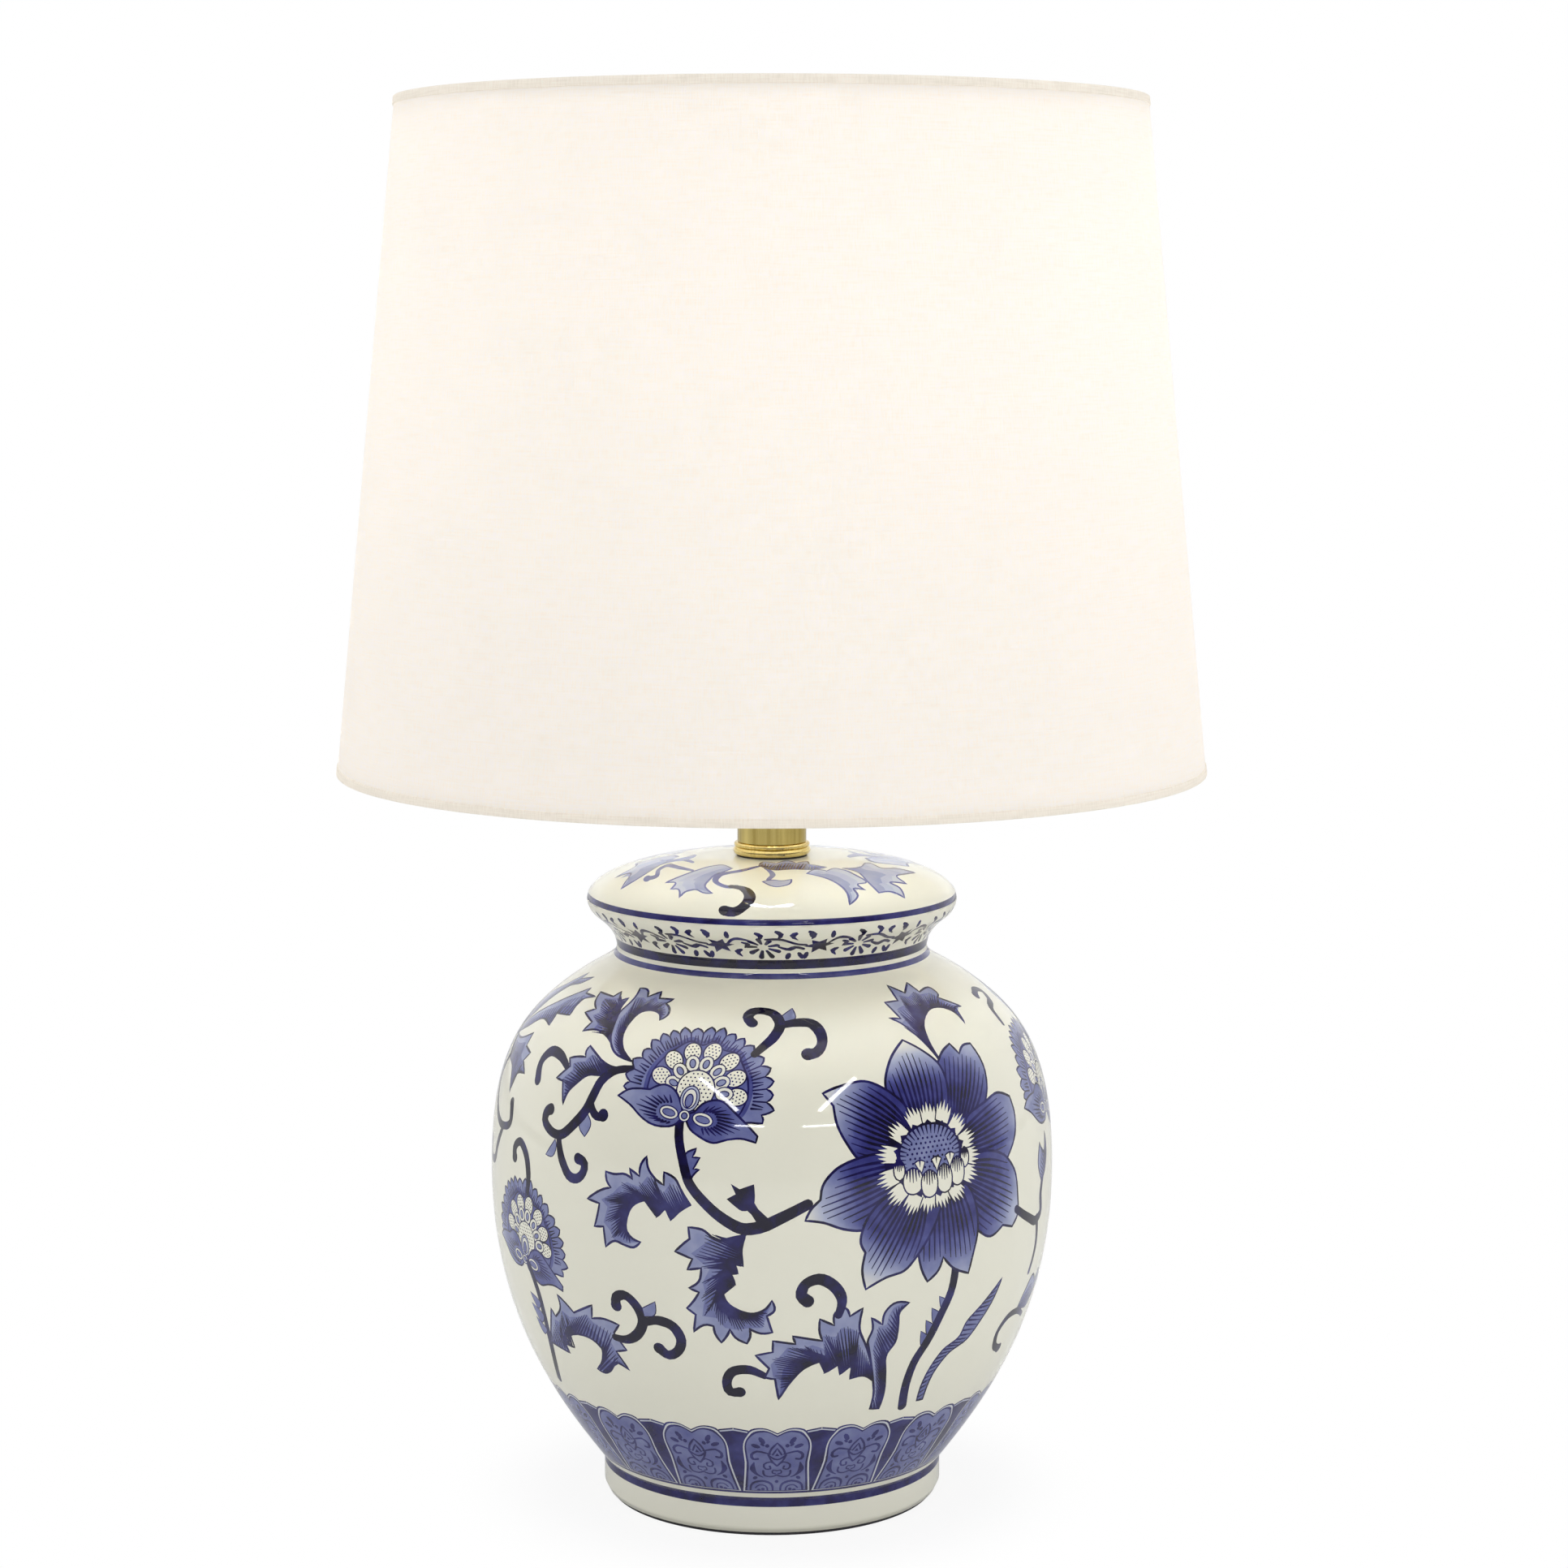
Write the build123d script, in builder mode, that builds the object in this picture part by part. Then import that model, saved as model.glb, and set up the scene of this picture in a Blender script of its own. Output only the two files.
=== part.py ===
from build123d import *
from math import atan2, cos, dist, hypot, radians, sin
import os

# Table lamp on a covered ginger jar.
# The porcelain jar and its lid are clamped on a threaded tube by a nut under the foot.
# Above the lid a brass neck carries the harp saddle and the lamp socket, the harp carries
# the drum shade, and a finial holds the shade down.
#
# Frame: millimetres, +Z up. The origin is the middle of the foot, on the table.
# -Y is the front of the lamp and the cord hole is at the back, on +Y.

os.makedirs("parts", exist_ok=True)

# ---------------------------------------------------------------- clearances
slip_gap = 0.06  # radial clearance of a piece that slides or turns on another
loose_gap = 0.3  # space between neighbours that only stand beside each other
hole_gap = 0.9  # radial clearance of the threaded tube in the porcelain

# ---------------------------------------------------------------- jar
pad_thickness = 1.5
pad_inner_radius = 59.0
pad_outer_radius = 67.5

foot_radius = 70.4
foot_inner_radius = 58.0
foot_height = 14.0
foot_edge_round = 2.0
recess_depth = 12.5
floor_thickness = 8.0

jar_wall = 6.0
jar_height = 248.5
belly_radius = 116.5
belly_height = 136.5
shoulder_radius = 83.0
shoulder_height = 214.5
shoulder_slope = 145.1
neck_radius = 64.0
neck_height = 229.5
collar_radius = 73.0
collar_height = 242.5
collar_slope = 35.8
rim_radius = 76.3
foot_slope = 52.8

# how far each curve of the outline runs on before it bends away
foot_pull = 31.9
belly_lower_pull = 62.1
belly_upper_pull = 48.2
shoulder_upper_pull = 25.0
shoulder_lower_pull = 15.0
neck_lower_pull = 5.9
neck_upper_pull = 2.5
collar_lower_pull = 9.2
collar_upper_pull = 2.1
rim_pull = 2.1

# ---------------------------------------------------------------- lid
lid_wall = 6.0
lid_height = 17.4
lid_crown_radius = 20.0
lid_rim_pull = 12.8
lid_crown_pull = 17.7
lid_flange_radius = 61.0
lid_flange_thickness = 4.0
lid_flange_depth = 7.0

# ---------------------------------------------------------------- cord outlet
cord_hole_radius = 4.6
cord_hole_height = 7.5
bushing_bore_radius = 3.6
bushing_flange_radius = 6.0
bushing_flange_thickness = 1.4

# ---------------------------------------------------------------- threaded tube and its hardware
tube_radius = 5.1
tube_bore_radius = 3.3
tube_tail = 2.2  # what stands out under the nut
rubber_washer_radius = 17.0
rubber_washer_thickness = 2.0
plate_washer_radius = 19.0
plate_washer_thickness = 1.2
lock_washer_radius = 8.6
lock_washer_thickness = 1.4
lock_washer_teeth = 10
lock_tooth_width = 1.4
lock_tooth_depth = 1.2
nut_across_flats = 14.3
nut_height = 3.6
nut_edge_chamfer = 0.5

# ---------------------------------------------------------------- brass neck
lid_washer_radius = 14.5
lid_washer_thickness = 0.5
ring_radius = 16.0
ring_lower_bead_height = 3.4
ring_waist_radius = 14.7
ring_upper_bead_radius = 15.3
ring_height = 5.2
neck_tube_radius = 14.2
neck_tube_wall = 0.9
neck_tube_length = 94.7
spigot_height = 3.0
neck_cap_thickness = 1.5

# ---------------------------------------------------------------- harp
saddle_thickness = 2.0
saddle_width = 12.0
saddle_half_span = 27.0
saddle_arm_height = 20.0
saddle_bend_radius = 5.0
prong_seat_radius = 2.5
prong_seat_height = 1.5
prong_root_height = 2.0
lap_length = 12.0
harp_wire_radius = 1.6
harp_height = 177.8  # from the saddle's seat to the shelf under the shade
harp_half_width = 56.0
harp_straight_leg = 42.0  # height of the straight leg that the sleeve slides up on
harp_flare_rise = 30.0  # from the straight leg's top up to the widest part
harp_top_half_width = 34.0
harp_shoulder_drop = 35.6  # from the wire's top down to where the shoulders begin
harp_leg_bend = 30.0
harp_waist_bend = 26.0
harp_shoulder_bend = 45.0
harp_top_bend = 30.0
sleeve_wall = 0.9
sleeve_length = 16.0
stud_block_radius = 6.0
stud_block_height = 6.4
shelf_radius = 8.0
shelf_thickness = 1.5
stud_radius = 3.0
stud_length = 10.0  # above the shade's hub

# ---------------------------------------------------------------- finial
finial_height = 25.0
finial_foot_radius = 7.0
finial_foot_height = 2.2
finial_stem_radius = 4.6
finial_stem_height = 12.0  # the stud's bore ends inside this height
finial_knob_radius = 7.6
finial_bore_depth = 11.5

# ---------------------------------------------------------------- shade
shade_bottom_radius = 177.8
shade_top_radius = 151.2
shade_height = 270.9
shade_drop = 25.6  # from the shade's top edge down to the top of its hub
cloth_thickness = 0.5
liner_thickness = 0.8
hem_thickness = 0.5
hem_outer_leg = 3.4
hem_inner_leg = 7.0
ring_wire_radius = 1.6
hub_radius = 12.0
hub_thickness = 1.6
arm_radius = 1.5
arm_count = 3
arm_first_angle = 90.0
arm_flat_reach = 42.0
arm_bend_radius = 25.0

# ---------------------------------------------------------------- socket
socket_height = 66.0
cap_neck_radius = 8.0
cap_neck_height = 9.0
cap_height = 20.0
cap_wall = 0.8
cap_foot_pull = 5.0
cap_side_pull = 3.0
shell_radius = 16.7
shell_wall = 0.7
shell_overlap = 5.0  # how deep the shell stands in its cap
paper_thickness = 0.7
paper_setback = 1.0
block_radius = 14.8
block_bottom_height = 13.0
block_height = 19.0
screw_shell_inner_radius = 13.35
screw_shell_wall = 0.5
screw_shell_height = 23.0
thread_pitch = 3.6
thread_depth = 0.55
terminal_head_radius = 3.4
terminal_head_height = 2.2
terminal_shank_radius = 1.7
terminal_shank_length = 6.0
terminal_flat = 11.0
set_screw_radius = 1.8
set_screw_head_radius = 2.8
set_screw_head_height = 2.0
set_screw_drop = 4.5  # its axis above the foot of the cap's neck
contact_width = 6.0
contact_thickness = 0.6
contact_rise = 1.8
contact_half_length = 5.0

# ---------------------------------------------------------------- turn switch
switch_height = 25.0  # its axis above the saddle
switch_shaft_radius = 2.0
switch_shaft_depth = 8.0  # how deep it reaches into the socket block
switch_window_radius = 4.0
knob_radius = 6.5
knob_tip_radius = 5.4
knob_length = 15.0
knob_standoff = 2.5
knob_flutes = 12
knob_flute_radius = 0.9
knob_bore_depth = 9.0

# ---------------------------------------------------------------- bulb
bulb_radius = 30.0
bulb_length = 108.0
bulb_neck_radius = 13.4
bulb_wall = 0.8
bulb_cap_radius = 13.05
bulb_cap_height = 23.5
bulb_cap_wall = 0.6
bulb_insulator_height = 2.4
bulb_insulator_radius = 9.0
bulb_tip_radius = 4.6
bulb_tip_height = 1.2
bulb_neck_pull = 24.0
bulb_side_pull = 20.0
bulb_seat_gap = 0.2

# ================================================================ levels, from the table up
foot_level = pad_thickness
recess_level = foot_level + recess_depth
rim_level = foot_level + jar_height
crown_level = rim_level + lid_height
ring_level = crown_level + lid_washer_thickness
neck_tube_level = ring_level + ring_height
neck_cap_level = neck_tube_level + neck_tube_length
saddle_level = neck_cap_level + neck_cap_thickness
socket_level = saddle_level + saddle_thickness
tube_top_level = socket_level + cap_neck_height

rubber_level = recess_level - rubber_washer_thickness
plate_level = rubber_level - plate_washer_thickness
lock_level = plate_level - lock_washer_thickness
nut_level = lock_level - nut_height
tube_bottom_level = nut_level - tube_tail

arm_top_level = saddle_level + saddle_arm_height
prong_level = arm_top_level + prong_seat_height
lap_level = prong_level + prong_root_height
shelf_level = saddle_level + harp_height
hub_level = shelf_level
finial_level = hub_level + hub_thickness
harp_wire_level = shelf_level - shelf_thickness - stud_block_height / 2
shade_top_level = finial_level + shade_drop
shade_bottom_level = shade_top_level - shade_height

block_level = socket_level + block_bottom_height
block_top_level = block_level + block_height
shell_level = socket_level + cap_height - shell_overlap
shell_top_level = socket_level + socket_height
switch_level = socket_level + switch_height
bulb_tip_level = block_top_level + contact_rise + contact_thickness + bulb_seat_gap
bulb_insulator_level = bulb_tip_level + bulb_tip_height
bulb_cap_level = bulb_insulator_level + bulb_insulator_height
bulb_cap_top_level = bulb_cap_level + bulb_cap_height
bulb_top_level = bulb_tip_level + bulb_length
bulb_middle_level = bulb_top_level - bulb_radius


def moved_inward(point, heading, inset):
    """The point moved to the left of a heading, which is inwards on an outline drawn upwards."""
    return (
        point[0] - inset * sin(radians(heading)),
        point[1] + inset * cos(radians(heading)),
    )


def curve(start, start_heading, start_pull, end, end_heading, end_pull, inset=0.0):
    """Control points of a cubic between two points at given headings, or of one inset from it."""
    inner_start = moved_inward(start, start_heading, inset)
    inner_end = moved_inward(end, end_heading, inset)
    pull_share = dist(inner_start, inner_end) / dist(start, end)
    leave = (
        inner_start[0] + pull_share * start_pull * cos(radians(start_heading)),
        inner_start[1] + pull_share * start_pull * sin(radians(start_heading)),
    )
    reach = (
        inner_end[0] - pull_share * end_pull * cos(radians(end_heading)),
        inner_end[1] - pull_share * end_pull * sin(radians(end_heading)),
    )
    return inner_start, leave, reach, inner_end


def draw_wall(spans, thickness):
    """Draw the outer face, the inner face and the two ends of a curved wall."""
    outer = [Bezier(*curve(*span)) for span in spans]
    inner = [Bezier(*curve(*span, inset=thickness)) for span in spans]
    Line(outer[0] @ 0, inner[0] @ 0)
    Line(outer[-1] @ 1, inner[-1] @ 1)


# ================================================================ foot pad
with BuildPart() as foot_pad:
    with BuildSketch():
        Circle(pad_outer_radius)
        Circle(pad_inner_radius, mode=Mode.SUBTRACT)
    extrude(amount=pad_thickness)
foot_pad.part.label = "foot_pad"
export_step(foot_pad.part, "parts/foot_pad.step")

# ================================================================ jar
foot_point = (foot_radius, foot_level + foot_height)
belly_point = (belly_radius, foot_level + belly_height)
shoulder_point = (shoulder_radius, foot_level + shoulder_height)
neck_point = (neck_radius, foot_level + neck_height)
collar_point = (collar_radius, foot_level + collar_height)
rim_point = (rim_radius, rim_level)

jar_spans = [
    (foot_point, foot_slope, foot_pull, belly_point, 90, belly_lower_pull),
    (belly_point, 90, belly_upper_pull, shoulder_point, shoulder_slope, shoulder_upper_pull),
    (shoulder_point, shoulder_slope, shoulder_lower_pull, neck_point, 90, neck_lower_pull),
    (neck_point, 90, neck_upper_pull, collar_point, collar_slope, collar_lower_pull),
    (collar_point, collar_slope, collar_upper_pull, rim_point, 90, rim_pull),
]

with BuildPart() as jar_body:
    with BuildSketch(Plane.XZ):
        with BuildLine():
            draw_wall(jar_spans, jar_wall)
        make_face()
        with Locations((foot_inner_radius, foot_level)):
            Rectangle(
                foot_radius - foot_inner_radius, foot_height, align=(Align.MIN, Align.MIN)
            )
        with Locations((0, recess_level)):
            Rectangle(foot_radius, floor_thickness, align=(Align.MIN, Align.MIN))
    revolve(axis=Axis.Z)
    fillet(
        jar_body.edges()
        .filter_by(GeomType.CIRCLE)
        .filter_by(lambda edge: abs(edge.center().Z - foot_level) < slip_gap)
        .sort_by(SortBy.RADIUS)[-1],
        radius=foot_edge_round,
    )
    with Locations((0, 0, recess_level)):
        Cylinder(
            tube_radius + hole_gap,
            floor_thickness,
            align=(Align.CENTER, Align.CENTER, Align.MIN),
            mode=Mode.SUBTRACT,
        )
    with BuildSketch(Plane.XZ):
        with Locations((0, foot_level + cord_hole_height)):
            Circle(cord_hole_radius)
    extrude(amount=-foot_radius - loose_gap, mode=Mode.SUBTRACT)
jar_body.part.label = "jar_body"
export_step(jar_body.part, "parts/jar_body.step")

# ================================================================ lid
crown_point = (lid_crown_radius, crown_level)
lid_spans = [(rim_point, 90, lid_rim_pull, crown_point, 180, lid_crown_pull)]

with BuildPart() as jar_lid:
    with BuildSketch(Plane.XZ):
        with BuildLine():
            draw_wall(lid_spans, lid_wall)
        make_face()
        with Locations((tube_radius + hole_gap, crown_level)):
            Rectangle(
                lid_crown_radius - tube_radius - hole_gap,
                lid_wall,
                align=(Align.MIN, Align.MAX),
            )
        with Locations((lid_flange_radius, rim_level - lid_flange_depth)):
            Rectangle(
                lid_flange_thickness,
                lid_flange_depth + lid_height / 2,
                align=(Align.MAX, Align.MIN),
            )
    revolve(axis=Axis.Z)
jar_lid.part.label = "jar_lid"
export_step(jar_lid.part, "parts/jar_lid.step")

# ================================================================ cord bushing
with BuildPart() as cord_bushing:
    with BuildSketch(Plane.XZ):
        with Locations((0, foot_level + cord_hole_height)):
            Circle(cord_hole_radius - slip_gap)
    extrude(amount=-foot_radius)
    with BuildSketch(Plane.XZ):
        Rectangle(
            4 * bushing_flange_radius,
            2 * (foot_level + cord_hole_height + bushing_flange_radius),
        )
    extrude(amount=-foot_inner_radius, mode=Mode.SUBTRACT)
    with BuildSketch(Plane.XZ.offset(-foot_radius)):
        with Locations((0, foot_level + cord_hole_height)):
            Circle(bushing_flange_radius)
    extrude(amount=-bushing_flange_thickness)
    fillet(
        cord_bushing.edges().filter_by(GeomType.CIRCLE).group_by(Axis.Y)[-1],
        radius=bushing_flange_thickness / 2,
    )
    with BuildSketch(Plane.XZ.offset(-foot_inner_radius)):
        with Locations((0, foot_level + cord_hole_height)):
            Circle(bushing_bore_radius)
    extrude(
        amount=-(foot_radius - foot_inner_radius) - bushing_flange_thickness,
        mode=Mode.SUBTRACT,
    )
cord_bushing.part.label = "cord_bushing"
export_step(cord_bushing.part, "parts/cord_bushing.step")

# ================================================================ clamping hardware
with BuildPart() as threaded_tube:
    with BuildSketch(Plane.XY.offset(tube_bottom_level)):
        Circle(tube_radius)
        Circle(tube_bore_radius, mode=Mode.SUBTRACT)
    extrude(amount=tube_top_level - tube_bottom_level)
threaded_tube.part.label = "threaded_tube"
export_step(threaded_tube.part, "parts/threaded_tube.step")

with BuildPart() as rubber_washer:
    with BuildSketch(Plane.XY.offset(rubber_level)):
        Circle(rubber_washer_radius)
        Circle(tube_radius + slip_gap, mode=Mode.SUBTRACT)
    extrude(amount=rubber_washer_thickness)
rubber_washer.part.label = "rubber_washer"
export_step(rubber_washer.part, "parts/rubber_washer.step")

with BuildPart() as plate_washer:
    with BuildSketch(Plane.XY.offset(plate_level)):
        Circle(plate_washer_radius)
        Circle(tube_radius + slip_gap, mode=Mode.SUBTRACT)
    extrude(amount=plate_washer_thickness)
plate_washer.part.label = "plate_washer"
export_step(plate_washer.part, "parts/plate_washer.step")

with BuildPart() as lock_washer:
    with BuildSketch(Plane.XY.offset(lock_level)):
        Circle(lock_washer_radius)
        Circle(tube_radius + slip_gap, mode=Mode.SUBTRACT)
        with PolarLocations(lock_washer_radius, lock_washer_teeth):
            Rectangle(2 * lock_tooth_depth, lock_tooth_width, mode=Mode.SUBTRACT)
    extrude(amount=lock_washer_thickness)
lock_washer.part.label = "lock_washer"
export_step(lock_washer.part, "parts/lock_washer.step")

with BuildPart() as clamp_nut:
    with BuildSketch(Plane.XY.offset(nut_level)):
        RegularPolygon(nut_across_flats / 2, 6, major_radius=False)
        Circle(tube_radius + slip_gap, mode=Mode.SUBTRACT)
    extrude(amount=nut_height)
    chamfer(
        clamp_nut.faces().sort_by(Axis.Z)[0].outer_wire().edges(), length=nut_edge_chamfer
    )
clamp_nut.part.label = "clamp_nut"
export_step(clamp_nut.part, "parts/clamp_nut.step")

# ================================================================ brass neck
with BuildPart() as lid_washer:
    with BuildSketch(Plane.XY.offset(crown_level)):
        Circle(lid_washer_radius)
        Circle(tube_radius + slip_gap, mode=Mode.SUBTRACT)
    extrude(amount=lid_washer_thickness)
lid_washer.part.label = "lid_washer"
export_step(lid_washer.part, "parts/lid_washer.step")

spigot_radius = neck_tube_radius - neck_tube_wall - slip_gap
ring_bore_radius = tube_radius + slip_gap
lower_bead_level = ring_level + ring_lower_bead_height

with BuildPart() as neck_ring:
    with BuildSketch(Plane.XZ):
        with BuildLine():
            Polyline(
                (spigot_radius, neck_tube_level),
                (spigot_radius, neck_tube_level + spigot_height),
                (ring_bore_radius, neck_tube_level + spigot_height),
                (ring_bore_radius, ring_level),
                (ring_waist_radius, ring_level),
            )
            ThreePointArc(
                (ring_waist_radius, ring_level),
                (ring_radius, (ring_level + lower_bead_level) / 2),
                (ring_waist_radius, lower_bead_level),
            )
            ThreePointArc(
                (ring_waist_radius, lower_bead_level),
                (ring_upper_bead_radius, (lower_bead_level + neck_tube_level) / 2),
                (ring_waist_radius, neck_tube_level),
            )
            Line((ring_waist_radius, neck_tube_level), (spigot_radius, neck_tube_level))
        make_face()
    revolve(axis=Axis.Z)
neck_ring.part.label = "neck_ring"
export_step(neck_ring.part, "parts/neck_ring.step")

with BuildPart() as neck_tube:
    with BuildSketch(Plane.XY.offset(neck_tube_level)):
        Circle(neck_tube_radius)
        Circle(neck_tube_radius - neck_tube_wall, mode=Mode.SUBTRACT)
    extrude(amount=neck_tube_length)
neck_tube.part.label = "neck_tube"
export_step(neck_tube.part, "parts/neck_tube.step")

with BuildPart() as neck_cap:
    with BuildSketch(Plane.XY.offset(neck_cap_level)):
        Circle(neck_tube_radius)
    extrude(amount=neck_cap_thickness)
    fillet(neck_cap.edges().group_by(Axis.Z)[-1], radius=neck_cap_thickness / 3)
    with BuildSketch(Plane.XY.offset(neck_cap_level)):
        Circle(spigot_radius)
    extrude(amount=-spigot_height)
    with BuildSketch(Plane.XY.offset(neck_cap_level - spigot_height)):
        Circle(tube_radius + slip_gap)
    extrude(amount=spigot_height + neck_cap_thickness, mode=Mode.SUBTRACT)
neck_cap.part.label = "neck_cap"
export_step(neck_cap.part, "parts/neck_cap.step")

# ================================================================ harp saddle
saddle_mid_level = saddle_level + saddle_thickness / 2

with BuildPart() as harp_saddle:
    with BuildSketch(Plane.XZ):
        with BuildLine():
            FilletPolyline(
                (-saddle_half_span, arm_top_level),
                (-saddle_half_span, saddle_mid_level),
                (saddle_half_span, saddle_mid_level),
                (saddle_half_span, arm_top_level),
                radius=saddle_bend_radius,
            )
        trace(line_width=saddle_thickness)
    extrude(amount=saddle_width / 2, both=True)
    with BuildSketch(Plane.XY.offset(saddle_level)):
        Circle(tube_radius + slip_gap)
    extrude(amount=saddle_thickness, mode=Mode.SUBTRACT)
    with BuildSketch(Plane.XY.offset(arm_top_level)):
        with Locations((-saddle_half_span, 0), (saddle_half_span, 0)):
            Circle(prong_seat_radius)
    extrude(amount=prong_seat_height)
    with BuildSketch(Plane.XY.offset(prong_level)):
        with Locations((-saddle_half_span, 0), (saddle_half_span, 0)):
            Circle(harp_wire_radius)
    extrude(amount=prong_root_height + lap_length)
    with BuildSketch(Plane.XY.offset(lap_level)):
        with Locations((-saddle_half_span + slip_gap, 0)):
            Rectangle(
                2 * harp_wire_radius, 4 * harp_wire_radius, align=(Align.MAX, Align.CENTER)
            )
        with Locations((saddle_half_span - slip_gap, 0)):
            Rectangle(
                2 * harp_wire_radius, 4 * harp_wire_radius, align=(Align.MIN, Align.CENTER)
            )
    extrude(amount=lap_length, mode=Mode.SUBTRACT)
harp_saddle.part.label = "harp_saddle"
export_step(harp_saddle.part, "parts/harp_saddle.step")

# ================================================================ harp
waist_level = harp_wire_level - harp_shoulder_drop
leg_level = lap_level + harp_straight_leg
flare_level = leg_level + harp_flare_rise
right_side = [
    (saddle_half_span, lap_level),
    (saddle_half_span, leg_level),
    (harp_half_width, flare_level),
    (harp_half_width, waist_level),
    (harp_top_half_width, harp_wire_level),
]
left_side = [(-x, z) for x, z in reversed(right_side)]
side_bends = [harp_leg_bend, harp_waist_bend, harp_shoulder_bend, harp_top_bend]

with BuildPart() as harp_hoop:
    with BuildLine(Plane.XZ):
        FilletPolyline(*right_side, *left_side, radius=side_bends + side_bends[::-1])
    with BuildSketch(Plane.XY.offset(lap_level)):
        with Locations((saddle_half_span, 0)):
            Circle(harp_wire_radius)
    sweep()
    with BuildSketch(Plane.XY.offset(lap_level)):
        with Locations((-saddle_half_span, 0)):
            Rectangle(
                2 * harp_wire_radius, 4 * harp_wire_radius, align=(Align.MIN, Align.CENTER)
            )
        with Locations((saddle_half_span, 0)):
            Rectangle(
                2 * harp_wire_radius, 4 * harp_wire_radius, align=(Align.MAX, Align.CENTER)
            )
    extrude(amount=lap_length + slip_gap, mode=Mode.SUBTRACT)
harp_hoop.part.label = "harp_hoop"
export_step(harp_hoop.part, "parts/harp_hoop.step")

with BuildPart() as harp_stud:
    with BuildSketch(Plane.XY.offset(shelf_level - shelf_thickness - stud_block_height)):
        Circle(stud_block_radius)
    extrude(amount=stud_block_height)
    with BuildSketch(Plane.XY.offset(shelf_level - shelf_thickness)):
        Circle(shelf_radius)
    extrude(amount=shelf_thickness)
    with BuildSketch(Plane.XY.offset(shelf_level)):
        Circle(stud_radius)
    extrude(amount=hub_thickness + stud_length)
    chamfer(harp_stud.edges().group_by(Axis.Z)[-1], length=stud_radius / 5)
    with BuildSketch(Plane.YZ):
        with Locations((0, harp_wire_level)):
            Circle(harp_wire_radius + slip_gap)
    extrude(amount=stud_block_radius + loose_gap, both=True, mode=Mode.SUBTRACT)
harp_stud.part.label = "harp_stud"
export_step(harp_stud.part, "parts/harp_stud.step")

with BuildPart() as harp_sleeve_left:
    with BuildSketch(Plane.XY.offset(prong_level)):
        with Locations((-saddle_half_span, 0)):
            Circle(harp_wire_radius + slip_gap + sleeve_wall)
            Circle(harp_wire_radius + slip_gap, mode=Mode.SUBTRACT)
    extrude(amount=sleeve_length)
    fillet(
        harp_sleeve_left.edges().filter_by(GeomType.CIRCLE).sort_by(SortBy.RADIUS)[-2:],
        radius=sleeve_wall / 3,
    )
harp_sleeve_left.part.label = "harp_sleeve_left"
export_step(harp_sleeve_left.part, "parts/harp_sleeve_left.step")

with BuildPart() as harp_sleeve_right:
    mirror(harp_sleeve_left.part, about=Plane.YZ)
harp_sleeve_right.part.label = "harp_sleeve_right"
export_step(harp_sleeve_right.part, "parts/harp_sleeve_right.step")

# ================================================================ finial
knob_level = finial_level + finial_height - finial_knob_radius
stem_level = finial_level + finial_foot_height

with BuildPart() as finial:
    with BuildSketch(Plane.XZ):
        with BuildLine():
            Line((0, finial_level), (finial_foot_radius, finial_level))
            ThreePointArc(
                (finial_foot_radius, finial_level),
                (finial_foot_radius + finial_foot_height / 4, finial_level + finial_foot_height / 2),
                (finial_foot_radius, stem_level),
            )
            Bezier(
                (finial_foot_radius, stem_level),
                (finial_stem_radius, stem_level),
                (finial_stem_radius, finial_level + finial_stem_height),
            )
            Line(
                (finial_stem_radius, finial_level + finial_stem_height),
                (0, finial_level + finial_stem_height),
            )
            Line((0, finial_level + finial_stem_height), (0, finial_level))
        make_face()
    revolve(axis=Axis.Z)
    with Locations((0, 0, knob_level)):
        Sphere(finial_knob_radius)
    with BuildSketch(Plane.XY.offset(finial_level)):
        Circle(stud_radius + slip_gap)
    extrude(amount=finial_bore_depth, mode=Mode.SUBTRACT)
finial.part.label = "finial"
export_step(finial.part, "parts/finial.step")

# ================================================================ shade
shade_lean = atan2(shade_bottom_radius - shade_top_radius, shade_height)
shade_slant = shade_height / cos(shade_lean)
cloth_depth = hem_thickness
liner_depth = cloth_depth + cloth_thickness
wire_depth = liner_depth + liner_thickness + slip_gap + ring_wire_radius
hem_depth = wire_depth + ring_wire_radius + slip_gap
wall_depth = hem_depth + hem_thickness
wire_setback = hem_thickness + slip_gap + ring_wire_radius


def shade_point(along, inward):
    """Radius and level of a point of the wall: up its slant, then in from its outer face."""
    return (
        shade_bottom_radius - along * sin(shade_lean) - inward * cos(shade_lean),
        shade_bottom_level + along * cos(shade_lean) - inward * sin(shade_lean),
    )


def wall_band(low, high, outer, inner):
    """Corners of a strip of the wall between two heights and two depths."""
    return [
        shade_point(low, outer),
        shade_point(high, outer),
        shade_point(high, inner),
        shade_point(low, inner),
    ]


def hem_outline(edge, toward_middle):
    """Corners of a hem that wraps an edge of the wall and its wire, as a channel."""
    crown = edge + toward_middle * hem_thickness
    outer_end = edge + toward_middle * hem_outer_leg
    inner_end = edge + toward_middle * hem_inner_leg
    return [
        shade_point(edge, 0),
        shade_point(outer_end, 0),
        shade_point(outer_end, cloth_depth),
        shade_point(crown, cloth_depth),
        shade_point(crown, hem_depth),
        shade_point(inner_end, hem_depth),
        shade_point(inner_end, wall_depth),
        shade_point(edge, wall_depth),
    ]


top_wire_point = shade_point(shade_slant - wire_setback, wire_depth)
bottom_wire_point = shade_point(wire_setback, wire_depth)
arm_level = hub_level + hub_thickness / 2

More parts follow.
